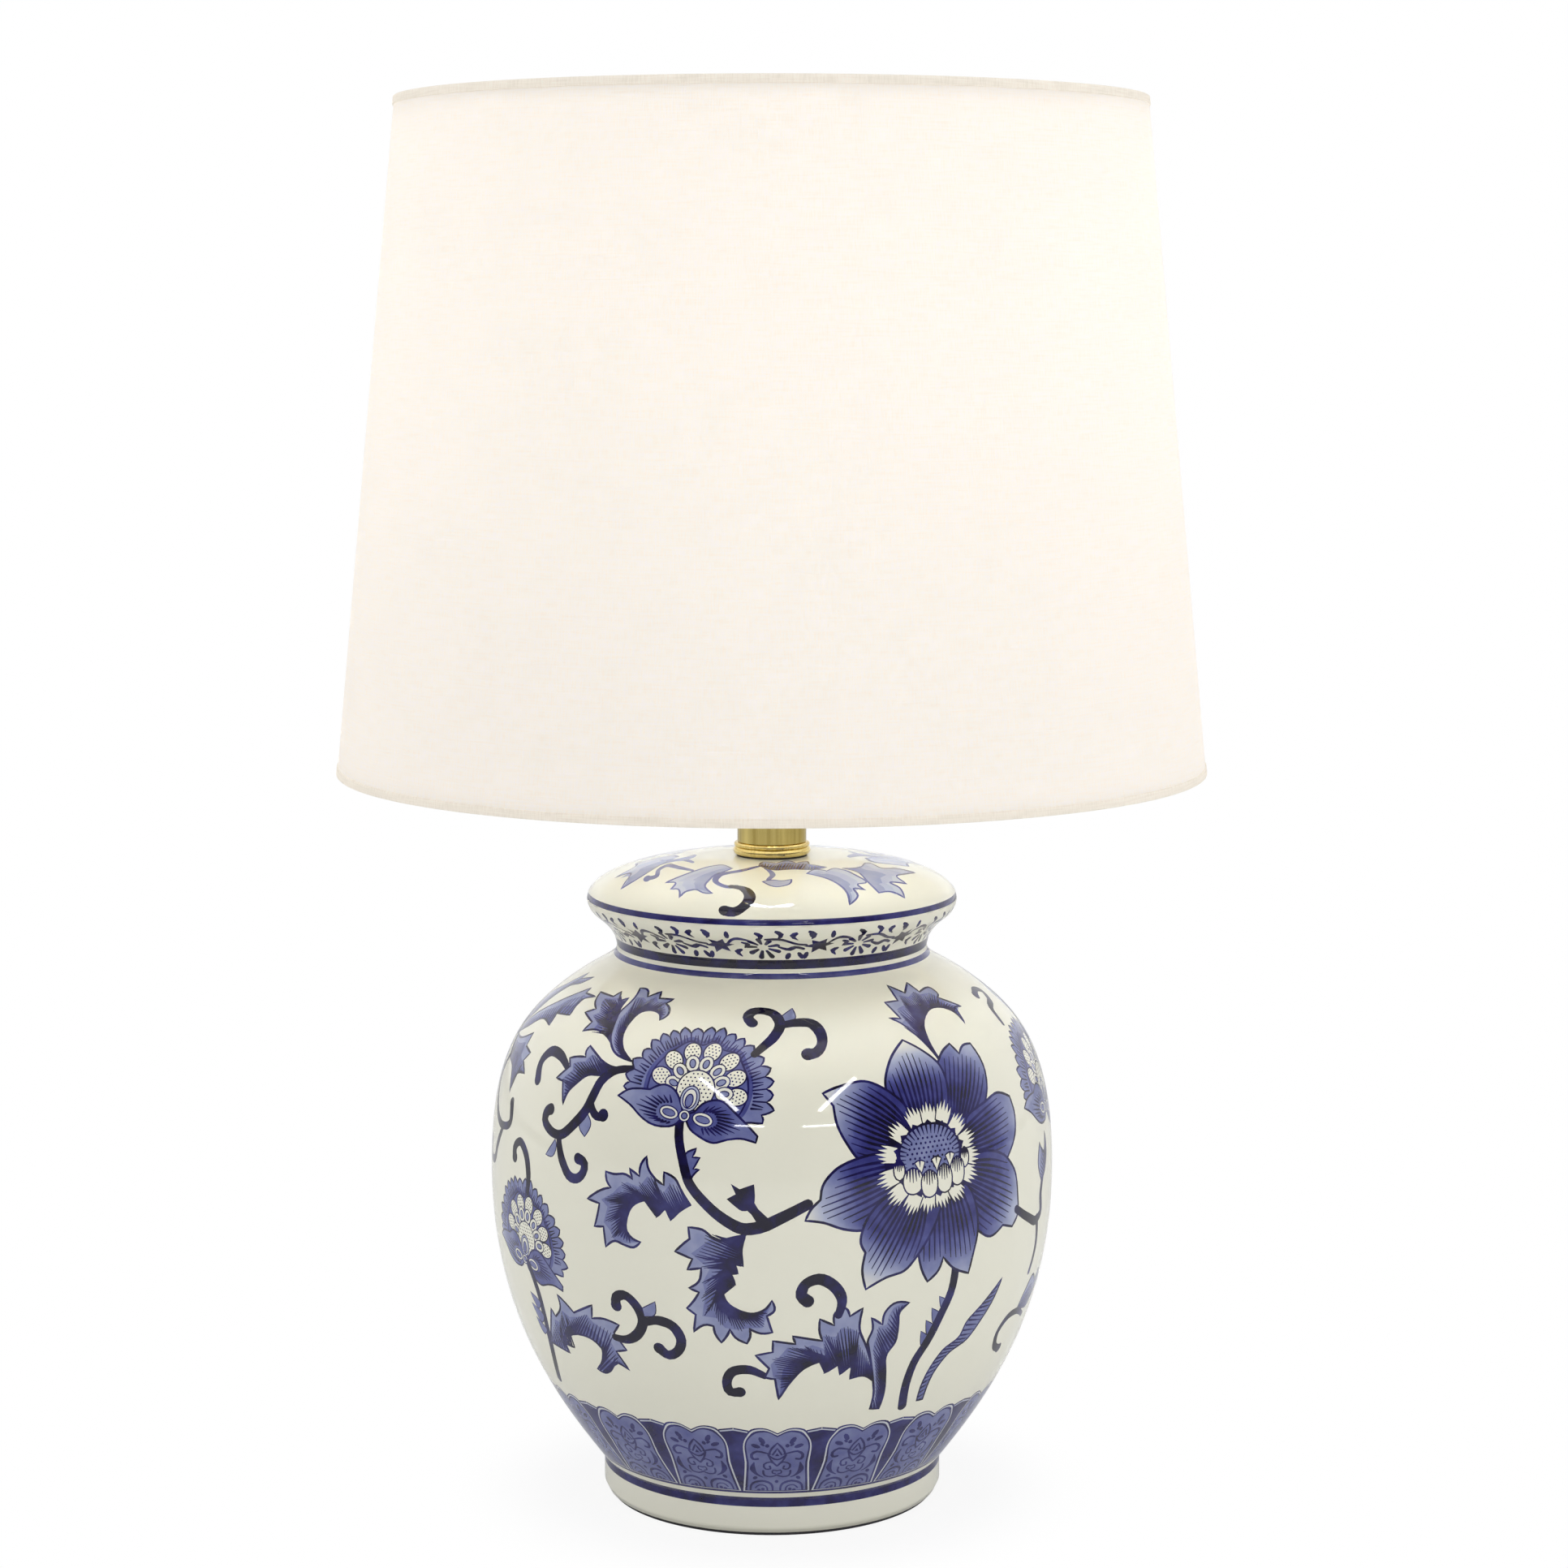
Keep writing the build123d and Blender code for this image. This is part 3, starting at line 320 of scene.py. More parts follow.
# Moulded nylon of the cord bushing: dark, with the dull gloss of a plastic moulding.
plain_finish("moulded_nylon", ["cord_bushing"], 0.3, 0.01, Base_Color=srgb("#262320"), Roughness=0.45)

# Rubber of the washer that seals the floor: black, matt, faintly dusty.
plain_finish("washer_rubber", ["rubber_washer"], 2.0, 0.02, ("#1A1A1A", "#2A2928"), Roughness=0.8)

# Zinc-plated steel of the threaded tube, nut, washers and screws: cool grey with cloudy plating.
zinc_nodes = ["threaded_tube", "plate_washer", "lock_washer", "clamp_nut", "socket_set_screw"]
zinc_nodes += ["socket_terminal_screws", "switch_shaft"]
plain_finish("zinc_plated_steel", zinc_nodes, 3.0, 0.02, ("#9EA3A6", "#C2C6C8"), Metallic=1.0, Roughness=0.34)

# White enamelled wire of the spider and the rings.
wire_nodes = ["shade_spider", "shade_bottom_wire"]
plain_finish("white_enamelled_wire", wire_nodes, 2.5, 0.02, ("#E4E1DA", "#F2F0EA"), Roughness=0.35)

# Pressed fibre paper of the socket's insulating sleeve.
plain_finish(
    "insulating_fibre_paper", ["socket_paper_sleeve"], 0.8, 0.03, ("#B99B6C", "#CDB385"), Roughness=0.9
)

# Black phenolic of the switch body and its knob: moulded, glossy on the edges.
phenolic_nodes = ["socket_block", "switch_knob"]
plain_finish("black_phenolic", phenolic_nodes, 1.2, 0.01, Base_Color=srgb("#17140F"), Roughness=0.25)

# Rolled aluminium of the lamp's screw shell and of the bulb's cap: pale, softly streaked around.
plain_finish(
    "rolled_aluminium",
    ["socket_screw_shell", "bulb_cap"],
    1.5,
    0.01,
    ("#B9BABB", "#D6D7D8"),
    stretch=(3, 3, 0.2),
    Metallic=1.0,
    Roughness=0.3,
)

# Bare brass of the centre contact, a touch redder than the polished parts.
contact_look = {"Base_Color": srgb("#C49A4E"), "Metallic": 1.0, "Roughness": 0.35}
plain_finish("contact_brass", ["socket_contact"], 0.5, 0.01, **contact_look)

# Black glass that insulates the bulb's cap, and the dab of solder at its tip.
black_glass, _, _ = new_finish("black_glass", Base_Color=srgb("#120E14"), Roughness=0.08)
wear(["bulb_insulator"], black_glass)
plain_finish("solder", ["bulb_tip"], 1.0, 0.05, Base_Color=srgb("#A9ABAE"), Metallic=1.0, Roughness=0.4)

# Frosted glass of the bulb, lit: it glows evenly, as the milky coating inside it spreads the light.
bulb_glow = 33.0
frosted, _, _ = new_finish(
    "frosted_bulb_glass",
    Base_Color=srgb("#F6F1E6"),
    Roughness=0.4,
    Emission_Color=srgb("#EAF3FF"),
    Emission_Strength=bulb_glow,
)
wear(["bulb_glass"], frosted)
print("finishes so far:", [material.name for material in bpy.data.materials])

# %% [markdown]
# ## Polished brass
#
# The neck is a drawn tube. Drawing leaves the finest lines along it, and once polished they only show as
# upright streaks in what it mirrors. They are drawn a few millimetres apart, coarser than the real ones, so
# that they show. Along the same lines the colour swings between dark and pale gold: painted reflection
# streaks. Turned pieces get the same metal and streaks with a far fainter grain.


# %% Brass
def brass(name, line_gap_mm, line_height_mm, dark, light):
    """Polished and lacquered brass. Its drawing lines run upright, with this gap and depth.
    Its colour swings between dark and light along them: painted reflection streaks.
    """
    metal, tree, surface = new_finish(name, Metallic=1.0, Roughness=0.13)
    lines = add_grain(tree, surface, line_gap_mm, line_height_mm, stretch=(1, 1, 60), detail=2.0)
    # painted reflection streaks: the base colour follows the upright lines from dark to light gold
    tint_by(tree, surface, lines, dark, light)
    return metal


turned_brass = brass("turned_brass", 1.1, 0.004, "#C4AD62", "#F3E0A0")
# The tube's dark olive to pale gold is the strongest of these painted reflection streaks.
streak_painted_brass = brass("streak_painted_brass", 3.0, 0.3, "#8C7020", "#F7E292")
brass_nodes = ["neck_cap", "harp_saddle", "harp_hoop", "harp_stud", "harp_sleeve_left", "harp_sleeve_right"]
wear(brass_nodes + ["finial", "socket_cap", "socket_shell", "neck_ring", "neck_tube"], turned_brass)
print("brass on", len(brass_nodes) + 5, "nodes")

# %% [markdown]
# ## Turned pieces
#
# `turned` revolves a closed outline into a mesh, the way a lathe would make it. Faces meet softly where the
# outline bends a little and sharply where it turns a corner.


# %% Turning
def turned(name, outline_mm, material, segments=128):
    """A ring revolved around the lamp's axis. The outline is closed, (radius, height), counter-clockwise."""
    outline = np.array(outline_mm) * mm
    turn = np.arange(segments) * 2 * math.pi / segments
    radius, height = outline[:, 0], outline[:, 1]
    points = np.stack(
        [
            np.outer(np.sin(turn), radius),
            np.outer(-np.cos(turn), radius),
            np.outer(np.ones(segments), height),
        ],
        axis=-1,
    ).reshape(-1, 3)
    count = len(outline)
    faces = [
        (i * count + j, ((i + 1) % segments) * count + j)
        + (((i + 1) % segments) * count + (j + 1) % count, i * count + (j + 1) % count)
        for i in range(segments)
        for j in range(count)
    ]
    mesh = bpy.data.meshes.new(name)
    mesh.from_pydata(points.tolist(), [], faces)
    mesh.polygons.foreach_set("use_smooth", [True] * len(faces))
    mesh.set_sharp_from_angle(angle=math.radians(30))
    mesh.materials.append(material)
    piece = bpy.data.objects.new(name, mesh)
    bpy.context.scene.collection.objects.link(piece)
    return piece


def arc_points(centre, radius, start, end, steps=8):
    """Points on an arc, from one angle to another, in degrees."""
    return [
        (centre[0] + radius * math.cos(a), centre[1] + radius * math.sin(a))
        for a in np.radians(np.linspace(start, end, steps + 1))
    ]


# %% [markdown]
# The ring is a turned bead under a thin upper lip, and the tube that stands in it has broken edges. The
# lathe way suits both, and its smooth faces mirror the room better than the loose triangles from the CAD.

# %% Brass ring and tube
ring_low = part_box("neck_ring")[0].z / mm
neck_low, neck_high = (corner.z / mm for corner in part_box("neck_tube"))
tube_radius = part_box("neck_tube")[1].x / mm
tube_wall, edge_break = 0.9, 0.3
tube_bore = tube_radius - tube_wall
ring_bore = 5.3
bead_reach, bead_radius = 16.0, 1.8  # the lower bead's outermost radius, and its section
lip_reach, lip_radius = 15.6, 0.9  # the rounded lip above it

lower_bead = arc_points((bead_reach - bead_radius, ring_low + bead_radius), bead_radius, -90, 78)
upper_lip = arc_points((lip_reach - lip_radius, neck_low - lip_radius), lip_radius, -80, 90)
neck_ring = turned(
    "brass_ring",
    [(ring_bore, ring_low), *lower_bead, *upper_lip, (ring_bore, neck_low)],
    turned_brass,
)
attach(neck_ring, "base")
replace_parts(neck_ring, "neck_ring")

neck_tube = turned(
    "brass_tube",
    [
        (tube_bore, neck_low),
        (tube_radius - edge_break, neck_low),
        (tube_radius, neck_low + edge_break),
        (tube_radius, neck_high - edge_break),
        (tube_radius - edge_break, neck_high),
        (tube_bore, neck_high),
    ],
    streak_painted_brass,
)
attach(neck_tube, "base")
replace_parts(neck_tube, "neck_tube")
print("brass ring and tube:", len(neck_ring.data.polygons), len(neck_tube.data.polygons), "faces")

# %% [markdown]
# ## The linen shade
#
# Real shades are made flat and rolled. So is this one: a Geometry Nodes tree lays a flat strip of cloth,
# scatters thicker slub threads on it, and rolls both around the drum's cone. The ends meet at the back,
# where they are welded. The numbers of the drum come from the CAD pieces.

# %% Drum sizes
shade_low, shade_high = 303.4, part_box("shade_top_hem")[1].z / mm  # the outer edges of the wall
shade_bottom_radius, shade_top_radius = 177.8, 151.2
hem_thickness = 0.5
cloth_thickness = 0.5
shade_height = shade_high - shade_low
shade_lean = math.atan2(shade_bottom_radius - shade_top_radius, shade_height)
shade_slant = shade_height / math.cos(shade_lean)


def on_wall(along, inward):
    """(radius, height) of a point on the wall, by its way up the slant and its depth, in mm."""
    return (
        shade_bottom_radius - along * math.sin(shade_lean) - inward * math.cos(shade_lean),
        shade_low + along * math.cos(shade_lean) - inward * math.sin(shade_lean),
    )


print("drum %.1f mm high, its wall %.1f mm up the slant" % (shade_height, shade_slant))

# %% [markdown]
# The shade is linen glued to a milky sheet of styrene, with a tape of the same cloth over each rim. The
# weave could be a picture; noise stretched along the threads does it with real sizes and without a seam.

# %% Linen
# Bleached linen in a plain weave. Long soft noise around the drum gives the uneven weft that shows as faint
# level streaks, a fine one across it gives the warp, and light that falls on it goes partly through. The
# threads are drawn coarser than real ones, which are too fine to show. The cloth also emits a little warm
# light of its own: a painted glow.
streak_length, streak_height = 14.0, 0.7
warp_width, warp_length = 0.6, 5.0
# painted glow: emission in the cloth that stands in for light wandering inside the drum
painted_cloth_glow = 0.10  # light that has wandered inside the drum before it came through


def woven(tree, around_mm, up_mm, detail):
    """Noise on the rolled cloth: its scale is measured around the drum and up its side."""
    place = add_node(tree, "ShaderNodeTexCoord")
    axes = add_node(tree, "ShaderNodeSeparateXYZ", {0: place.outputs["Object"]})
    turn = add_node(
        tree, "ShaderNodeMath", {0: axes.outputs["X"], 1: axes.outputs["Y"]}, operation="ARCTAN2"
    )
    around = add_node(
        tree,
        "ShaderNodeMath",
        {0: turn.outputs[0], 1: shade_bottom_radius / around_mm},
        operation="MULTIPLY",
    )
    up = add_node(
        tree, "ShaderNodeMath", {0: axes.outputs["Z"], 1: 1 / (up_mm * mm)}, operation="MULTIPLY"
    )
    flat = add_node(tree, "ShaderNodeCombineXYZ", {"X": around.outputs[0], "Y": up.outputs[0]})
    return add_node(
        tree, "ShaderNodeTexNoise", {"Vector": flat.outputs[0], "Scale": 1.0, "Detail": detail}
    )


def cloth_finish(name, dark, light, through, bump_mm):
    """A woven finish, partly see-through to light. dark and light are the tints of thin and thick yarn.
    It also emits a faint warm light, a painted glow for light scattered inside the drum.
    """
    # painted glow: the emission makes the cloth shine by itself
    finish, tree, surface = new_finish(
        name, Roughness=0.9, Emission_Color=srgb("#FFF6EA"), Emission_Strength=painted_cloth_glow / (1 - through)
    )
    weft = woven(tree, streak_length, streak_height, 3.0)
    warp = woven(tree, warp_width, warp_length, 1.0)
    weave = add_node(
        tree, "ShaderNodeMath", {0: weft.outputs["Fac"], 1: warp.outputs["Fac"]}, operation="ADD"
    )
    yarn = add_node(
        tree, "ShaderNodeMapRange", {"Value": weave.outputs[0], "From Min": 0.7, "From Max": 1.3}
    )
    colour = add_node(
        tree,
        "ShaderNodeMix",
        {"Factor": yarn.outputs["Result"], "A": srgb(dark), "B": srgb(light)},
        data_type="RGBA",
    )
    bump = add_node(
        tree, "ShaderNodeBump", {"Height": weave.outputs[0], "Distance": bump_mm * mm, "Strength": 1.0}
    )
    tree.links.new(colour.outputs[2], surface.inputs["Base Color"])
    tree.links.new(bump.outputs["Normal"], surface.inputs["Normal"])
    lit_through = add_node(tree, "ShaderNodeBsdfTranslucent", {"Color": colour.outputs[2]})
    share = add_node(
        tree,
        "ShaderNodeMixShader",
        {0: through, 1: surface.outputs[0], 2: lit_through.outputs[0]},
    )
    tree.links.new(share.outputs[0], tree.nodes["Material Output"].inputs["Surface"])
    return finish


linen = cloth_finish("bleached_linen", "#F3F0EA", "#FAF8F8", 0.48, 0.12)
hem_tape = cloth_finish("linen_hem_tape", "#EAE7E0", "#F8F5EF", 0.5, 0.10)

# Styrene sheet that the linen is laminated on: smooth, milky and lit through.
styrene_share = 0.52  # of the light that falls on it, how much goes through
styrene, styrene_tree, styrene_surface = new_finish(
    "styrene_liner", Base_Color=srgb("#F4F0E8"), Roughness=0.5
)
styrene_through = add_node(styrene_tree, "ShaderNodeBsdfTranslucent", {"Color": srgb("#FDFBF6")})
styrene_mix = add_node(
    styrene_tree,
    "ShaderNodeMixShader",
    {0: styrene_share, 1: styrene_surface.outputs[0], 2: styrene_through.outputs[0]},
)
styrene_tree.links.new(styrene_mix.outputs[0], styrene_tree.nodes["Material Output"].inputs["Surface"])
wear(["shade_liner"], styrene)
print("cloth and liner:", linen.name, hem_tape.name, styrene.name)


# %% [markdown]
# Here the flat strip gets its slub threads and its roll, which moves each point to its angle on the cone. It
# could be modelled round at once, but cloth that starts flat keeps its true lengths.

# %% Rolling the cloth
def new_tree(name, sockets):
    """A geometry tree with named inputs (name, socket type) and one mesh output."""
    tree = bpy.data.node_groups.new(name, "GeometryNodeTree")
    for socket_name, kind in sockets:
        tree.interface.new_socket(socket_name, in_out="INPUT", socket_type=kind)
    tree.interface.new_socket("Mesh", in_out="OUTPUT", socket_type="NodeSocketGeometry")
    return tree, add_node(tree, "NodeGroupInput"), add_node(tree, "NodeGroupOutput")


def grow(name, tree, values, material):
    """Runs a geometry tree once and keeps the result as a plain mesh object."""
    holder = bpy.data.objects.new(name + "_nodes", bpy.data.meshes.new(name + "_nodes"))
    bpy.context.scene.collection.objects.link(holder)
    modifier = holder.modifiers.new("nodes", "NODES")
    modifier.node_group = tree
    for item in tree.interface.items_tree:
        if item.in_out == "INPUT" and item.name in values:
            modifier[item.identifier] = values[item.name]
    evaluated = holder.evaluated_get(bpy.context.evaluated_depsgraph_get())
    mesh = bpy.data.meshes.new_from_object(evaluated)
    mesh.name = name
    bpy.data.objects.remove(holder)
    if not any(mesh.materials):
        mesh.materials.append(material)
    piece = bpy.data.objects.new(name, mesh)
    bpy.context.scene.collection.objects.link(piece)
    return piece


def maths(tree, operation, first, second):
    """One number worked out from two."""
    return add_node(tree, "ShaderNodeMath", {0: first, 1: second}, operation=operation).outputs[0]


def rolled_cloth_tree():
    """Flat cloth in X (around) and Z (up), with Y its depth, rolled into a cone around Z."""
    tree, given, out = new_tree(
        "rolled_cloth",
        [
            ("Bottom Radius", "NodeSocketFloat"),
            ("Top Radius", "NodeSocketFloat"),
            ("Low", "NodeSocketFloat"),
            ("High", "NodeSocketFloat"),
            ("Thickness", "NodeSocketFloat"),
            ("Slubs", "NodeSocketInt"),
            ("Slub Length", "NodeSocketFloat"),
            ("Slub Radius", "NodeSocketFloat"),
            ("Seed", "NodeSocketInt"),
            ("Material", "NodeSocketMaterial"),
        ],
    )
    wide = maths(tree, "MULTIPLY", given.outputs["Bottom Radius"], 2 * math.pi)
    tall = maths(tree, "SUBTRACT", given.outputs["High"], given.outputs["Low"])

    size = add_node(tree, "ShaderNodeCombineXYZ", {"X": wide, "Y": given.outputs["Thickness"], "Z": tall})
    strip = add_node(
        tree,
        "GeometryNodeMeshCube",
        {"Size": size.outputs[0], "Vertices X": 257, "Vertices Y": 2, "Vertices Z": 25},
    )
    facing = add_node(
        tree, "ShaderNodeSeparateXYZ", {0: add_node(tree, "GeometryNodeInputNormal").outputs[0]}
    )
    sideways = maths(
        tree, "GREATER_THAN", maths(tree, "ABSOLUTE", facing.outputs["X"], 0), 0.5
    )
    open_strip = add_node(
        tree, "GeometryNodeDeleteGeometry", {0: strip.outputs["Mesh"], "Selection": sideways}, domain="FACE"
    )
    half_thick = maths(tree, "MULTIPLY", given.outputs["Thickness"], 0.5)
    half_tall = maths(tree, "MULTIPLY", tall, 0.5)
    centred = add_node(tree, "ShaderNodeCombineXYZ", {"Y": half_thick, "Z": half_tall})
    cloth = add_node(
        tree,
        "GeometryNodeTransform",
        {"Geometry": open_strip.outputs[0], "Translation": centred.outputs[0]},
    )

    spots = add_node(tree, "GeometryNodePoints", {"Count": given.outputs["Slubs"]})
    low_corner = add_node(tree, "ShaderNodeCombineXYZ", {"X": maths(tree, "MULTIPLY", wide, -0.49)})
    high_corner = add_node(
        tree, "ShaderNodeCombineXYZ", {"X": maths(tree, "MULTIPLY", wide, 0.49), "Z": tall}
    )
    scatter = add_node(
        tree,
        "FunctionNodeRandomValue",
        {"Min": low_corner.outputs[0], "Max": high_corner.outputs[0], "Seed": given.outputs["Seed"]},
        data_type="FLOAT_VECTOR",
    )
    scattered = add_node(
        tree, "GeometryNodeSetPosition", {"Geometry": spots.outputs[0], "Position": scatter.outputs["Value"]}
    )
    slub = add_node(tree, "GeometryNodeMeshUVSphere", {"Segments": 6, "Rings": 9, "Radius": 1.0})
    lying = add_node(
        tree,
        "GeometryNodeTransform",
        {"Geometry": slub.outputs["Mesh"], "Rotation": (0, math.pi / 2, 0)},
    )
    stretch = add_node(
        tree,
        "FunctionNodeRandomValue",
        {"Min": 0.3, "Max": 1.0, "Seed": maths(tree, "ADD", given.outputs["Seed"], 1)},
        data_type="FLOAT",
    )
    half_length = maths(tree, "MULTIPLY", given.outputs["Slub Length"], 0.5)
    slub_size = add_node(
        tree,
        "ShaderNodeCombineXYZ",
        {
            "X": maths(tree, "MULTIPLY", half_length, stretch.outputs[1]),
            "Y": given.outputs["Slub Radius"],
            "Z": maths(tree, "MULTIPLY", given.outputs["Slub Radius"], 1.6),
        },
    )
    slubs = add_node(
        tree,
        "GeometryNodeInstanceOnPoints",
        {"Points": scattered.outputs[0], "Instance": lying.outputs[0], "Scale": slub_size.outputs[0]},
    )
    loose = add_node(tree, "GeometryNodeRealizeInstances", {0: slubs.outputs[0]})
    flat = add_node(tree, "GeometryNodeJoinGeometry")
    tree.links.new(cloth.outputs[0], flat.inputs[0])
    tree.links.new(loose.outputs[0], flat.inputs[0])

    here = add_node(
        tree, "ShaderNodeSeparateXYZ", {0: add_node(tree, "GeometryNodeInputPosition").outputs[0]}
    )
    turn = maths(tree, "DIVIDE", here.outputs["X"], given.outputs["Bottom Radius"])
    taper = maths(
        tree,
        "DIVIDE",
        maths(tree, "SUBTRACT", given.outputs["Top Radius"], given.outputs["Bottom Radius"]),
        tall,
    )
    radius = maths(
        tree,
        "SUBTRACT",
        maths(
            tree, "ADD", given.outputs["Bottom Radius"], maths(tree, "MULTIPLY", taper, here.outputs["Z"])
        ),
        here.outputs["Y"],
    )
    rolled_place = add_node(
        tree,
        "ShaderNodeCombineXYZ",
        {
            "X": maths(tree, "MULTIPLY", radius, maths(tree, "SINE", turn, 0)),
            "Y": maths(tree, "MULTIPLY", radius, maths(tree, "MULTIPLY", maths(tree, "COSINE", turn, 0), -1)),
            "Z": maths(tree, "ADD", here.outputs["Z"], given.outputs["Low"]),
        },
    )
    rolled = add_node(
        tree, "GeometryNodeSetPosition", {"Geometry": flat.outputs[0], "Position": rolled_place.outputs[0]}
    )
    welded = add_node(
        tree, "GeometryNodeMergeByDistance", {"Geometry": rolled.outputs[0], "Distance": 2e-6}
    )
    smooth = add_node(tree, "GeometryNodeSetShadeSmooth", {"Geometry": welded.outputs[0]})
    dressed = add_node(
        tree,
        "GeometryNodeSetMaterial",
        {"Geometry": smooth.outputs[0], "Material": given.outputs["Material"]},
    )
    tree.links.new(dressed.outputs[0], out.inputs[0])
    return tree


wall_low = on_wall(hem_thickness, hem_thickness)
wall_high = on_wall(shade_slant - hem_thickness, hem_thickness)
shade_cloth = grow(
    "shade_linen",
    rolled_cloth_tree(),
    {
        "Bottom Radius": wall_low[0] * mm,
        "Top Radius": wall_high[0] * mm,
        "Low": wall_low[1] * mm,
        "High": wall_high[1] * mm,
        "Thickness": cloth_thickness * mm,
        "Slubs": 420,
        "Slub Length": 34 * mm,
        "Slub Radius": 0.07 * mm,
        "Seed": 7,
        "Material": linen,
    },
    linen,
)
shade_cloth.data.set_sharp_from_angle(angle=math.radians(40))
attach(shade_cloth, "shade")
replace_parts(shade_cloth, "shade_cloth")
print("shade cloth:", len(shade_cloth.data.polygons), "faces")

# %% [markdown]
# ## Hems
#
# Each edge of the drum is wrapped in tape that folds over the wire. Its outline is a channel with a rounded
# back.

# %% Hem tape
hem_outer_leg, hem_inner_leg = 3.4, 7.0
hem_depth = 5.14  # from the wall's outside to the inside of the tape's inner leg


def hem(name, edge, way):
    """Tape around an edge of the wall. way is 1 at the bottom edge, and -1 at the top."""
    roll = 0.45  # the radius of the tape's folds
    fold_out = [
        on_wall(edge + way * (roll - roll * math.sin(a)), roll - roll * math.cos(a))
        for a in np.radians(np.linspace(0, 90, 5))
    ]
    depth = hem_depth + hem_thickness
    fold_in = [
        on_wall(edge + way * (roll - roll * math.cos(a)), depth - roll + roll * math.sin(a))
        for a in np.radians(np.linspace(0, 90, 5))
    ]
    outline = [
        on_wall(edge + way * hem_inner_leg, depth),
        on_wall(edge + way * hem_inner_leg, hem_depth),
        on_wall(edge + way * hem_thickness, hem_depth),
        on_wall(edge + way * hem_thickness, hem_thickness),
        on_wall(edge + way * hem_outer_leg, hem_thickness),
        on_wall(edge + way * hem_outer_leg, 0.12),
        on_wall(edge + way * (hem_outer_leg - 0.15), 0),
        *fold_out,
        *fold_in,
    ]
    piece = turned(name, outline[::way], hem_tape, segments=256)
    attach(piece, "shade")
    return piece


bottom_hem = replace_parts(hem("bottom_hem_tape", 0, 1), "shade_bottom_hem")
top_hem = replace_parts(hem("top_hem_tape", shade_slant, -1), "shade_top_hem")

# %% [markdown]
# ## The pot's outline, unrolled
#
# Blue-and-white is painted on the unfired pot and sits in its skin. Here too: the skin of the jar is laid
# flat, the brushwork is drawn on it, the sheet is cut along every brushstroke, and it is rolled back into the
# pot. The outline repeats the part's own: points, headings in degrees and how far each curve runs on.

# %% Outlines
foot_level, foot_top, recess_top, floor_top = 1.5, 15.5, 14.0, 22.0
foot_radius, foot_inner_radius, foot_round = 70.4, 58.0, 2.0
pot_wall = 6.0
tube_hole = 6.0
foot, belly, shoulder = (70.4, 15.5), (116.5, 138.0), (83.0, 216.0)
neck, collar, rim, crown = (64.0, 231.0), (73.0, 244.0), (76.3, 250.0), (20.0, 267.4)
flange_radius, flange_thickness, flange_low = 61.0, 4.0, 243.0


def bend(start, start_heading, start_pull, end, end_heading, end_pull, inset=0.0):
    """Points along a cubic between two points at given headings, or along one moved inwards from it."""
    ends = [
        np.array(point) + inset * np.array((-math.sin(heading), math.cos(heading)))
        for point, heading in ((start, math.radians(start_heading)), (end, math.radians(end_heading)))
    ]
    share = math.dist(*ends) / math.dist(start, end)
    leave, reach = (
        place + way * share * pull * np.array((math.cos(heading), math.sin(heading)))
        for place, way, pull, heading in (
            (ends[0], 1, start_pull, math.radians(start_heading)),
            (ends[1], -1, end_pull, math.radians(end_heading)),
        )
    )
    t = np.linspace(0, 1, 41)[:, None]
    near, far = 3 * (1 - t) ** 2 * t * leave, 3 * (1 - t) * t * t * reach
    return (1 - t) ** 3 * ends[0] + near + far + t**3 * ends[1]


jar_bends = [
    (foot, 52.8, 31.9, belly, 90, 62.1),
    (belly, 90, 48.2, shoulder, 145.1, 25.0),
    (shoulder, 145.1, 15.0, neck, 90, 5.9),
    (neck, 90, 2.5, collar, 35.8, 9.2),
    (collar, 35.8, 2.1, rim, 90, 2.1),
]
lid_bend = (rim, 90, 12.8, crown, 180, 17.7)


def cut_at(run, level):
    """The part of a rising or falling run above a level, ended on the level itself."""
    above = run[run[:, 1] > level]
    nearest = np.argsort(np.abs(run[:, 1] - level))[:2]
    low, high = sorted(run[nearest].tolist(), key=lambda p: p[1])
    share = (level - low[1]) / (high[1] - low[1])
    end = (low[0] + share * (high[0] - low[0]), level)
    return np.vstack([above, end]) if run[0, 1] > run[-1, 1] else np.vstack([end, above])


jar_inside = cut_at(np.vstack([bend(*b, inset=pot_wall) for b in jar_bends])[::-1], floor_top)
jar_runs = [
    np.vstack(
        [
            (foot_inner_radius, foot_level),
            *arc_points((foot_radius - foot_round, foot_level + foot_round), foot_round, -90, 0, 6),
            (foot_radius, foot_top),
        ]
    ),
    np.vstack([bend(*b) for b in jar_bends]),
    np.array([rim, (rim[0] - pot_wall, rim[1])]),
    jar_inside,
    np.array([jar_inside[-1], (tube_hole, floor_top)]),
    np.array([(tube_hole, floor_top), (tube_hole, recess_top)]),
    np.array([(tube_hole, recess_top), (foot_inner_radius, recess_top)]),
    np.array([(foot_inner_radius, recess_top), (foot_inner_radius, foot_level)]),
]
lid_inside = bend(*lid_bend, inset=pot_wall)[::-1]
lid_under = crown[1] - pot_wall
flange_meets = [
    float(np.interp(-radius, -lid_inside[::-1, 0][::-1], lid_inside[::-1, 1][::-1]))
    for radius in (flange_radius - flange_thickness, flange_radius)
]
inner_part = lid_inside[lid_inside[:, 0] < flange_radius - flange_thickness]
outer_part = lid_inside[lid_inside[:, 0] > flange_radius]
flange_inner = flange_radius - flange_thickness
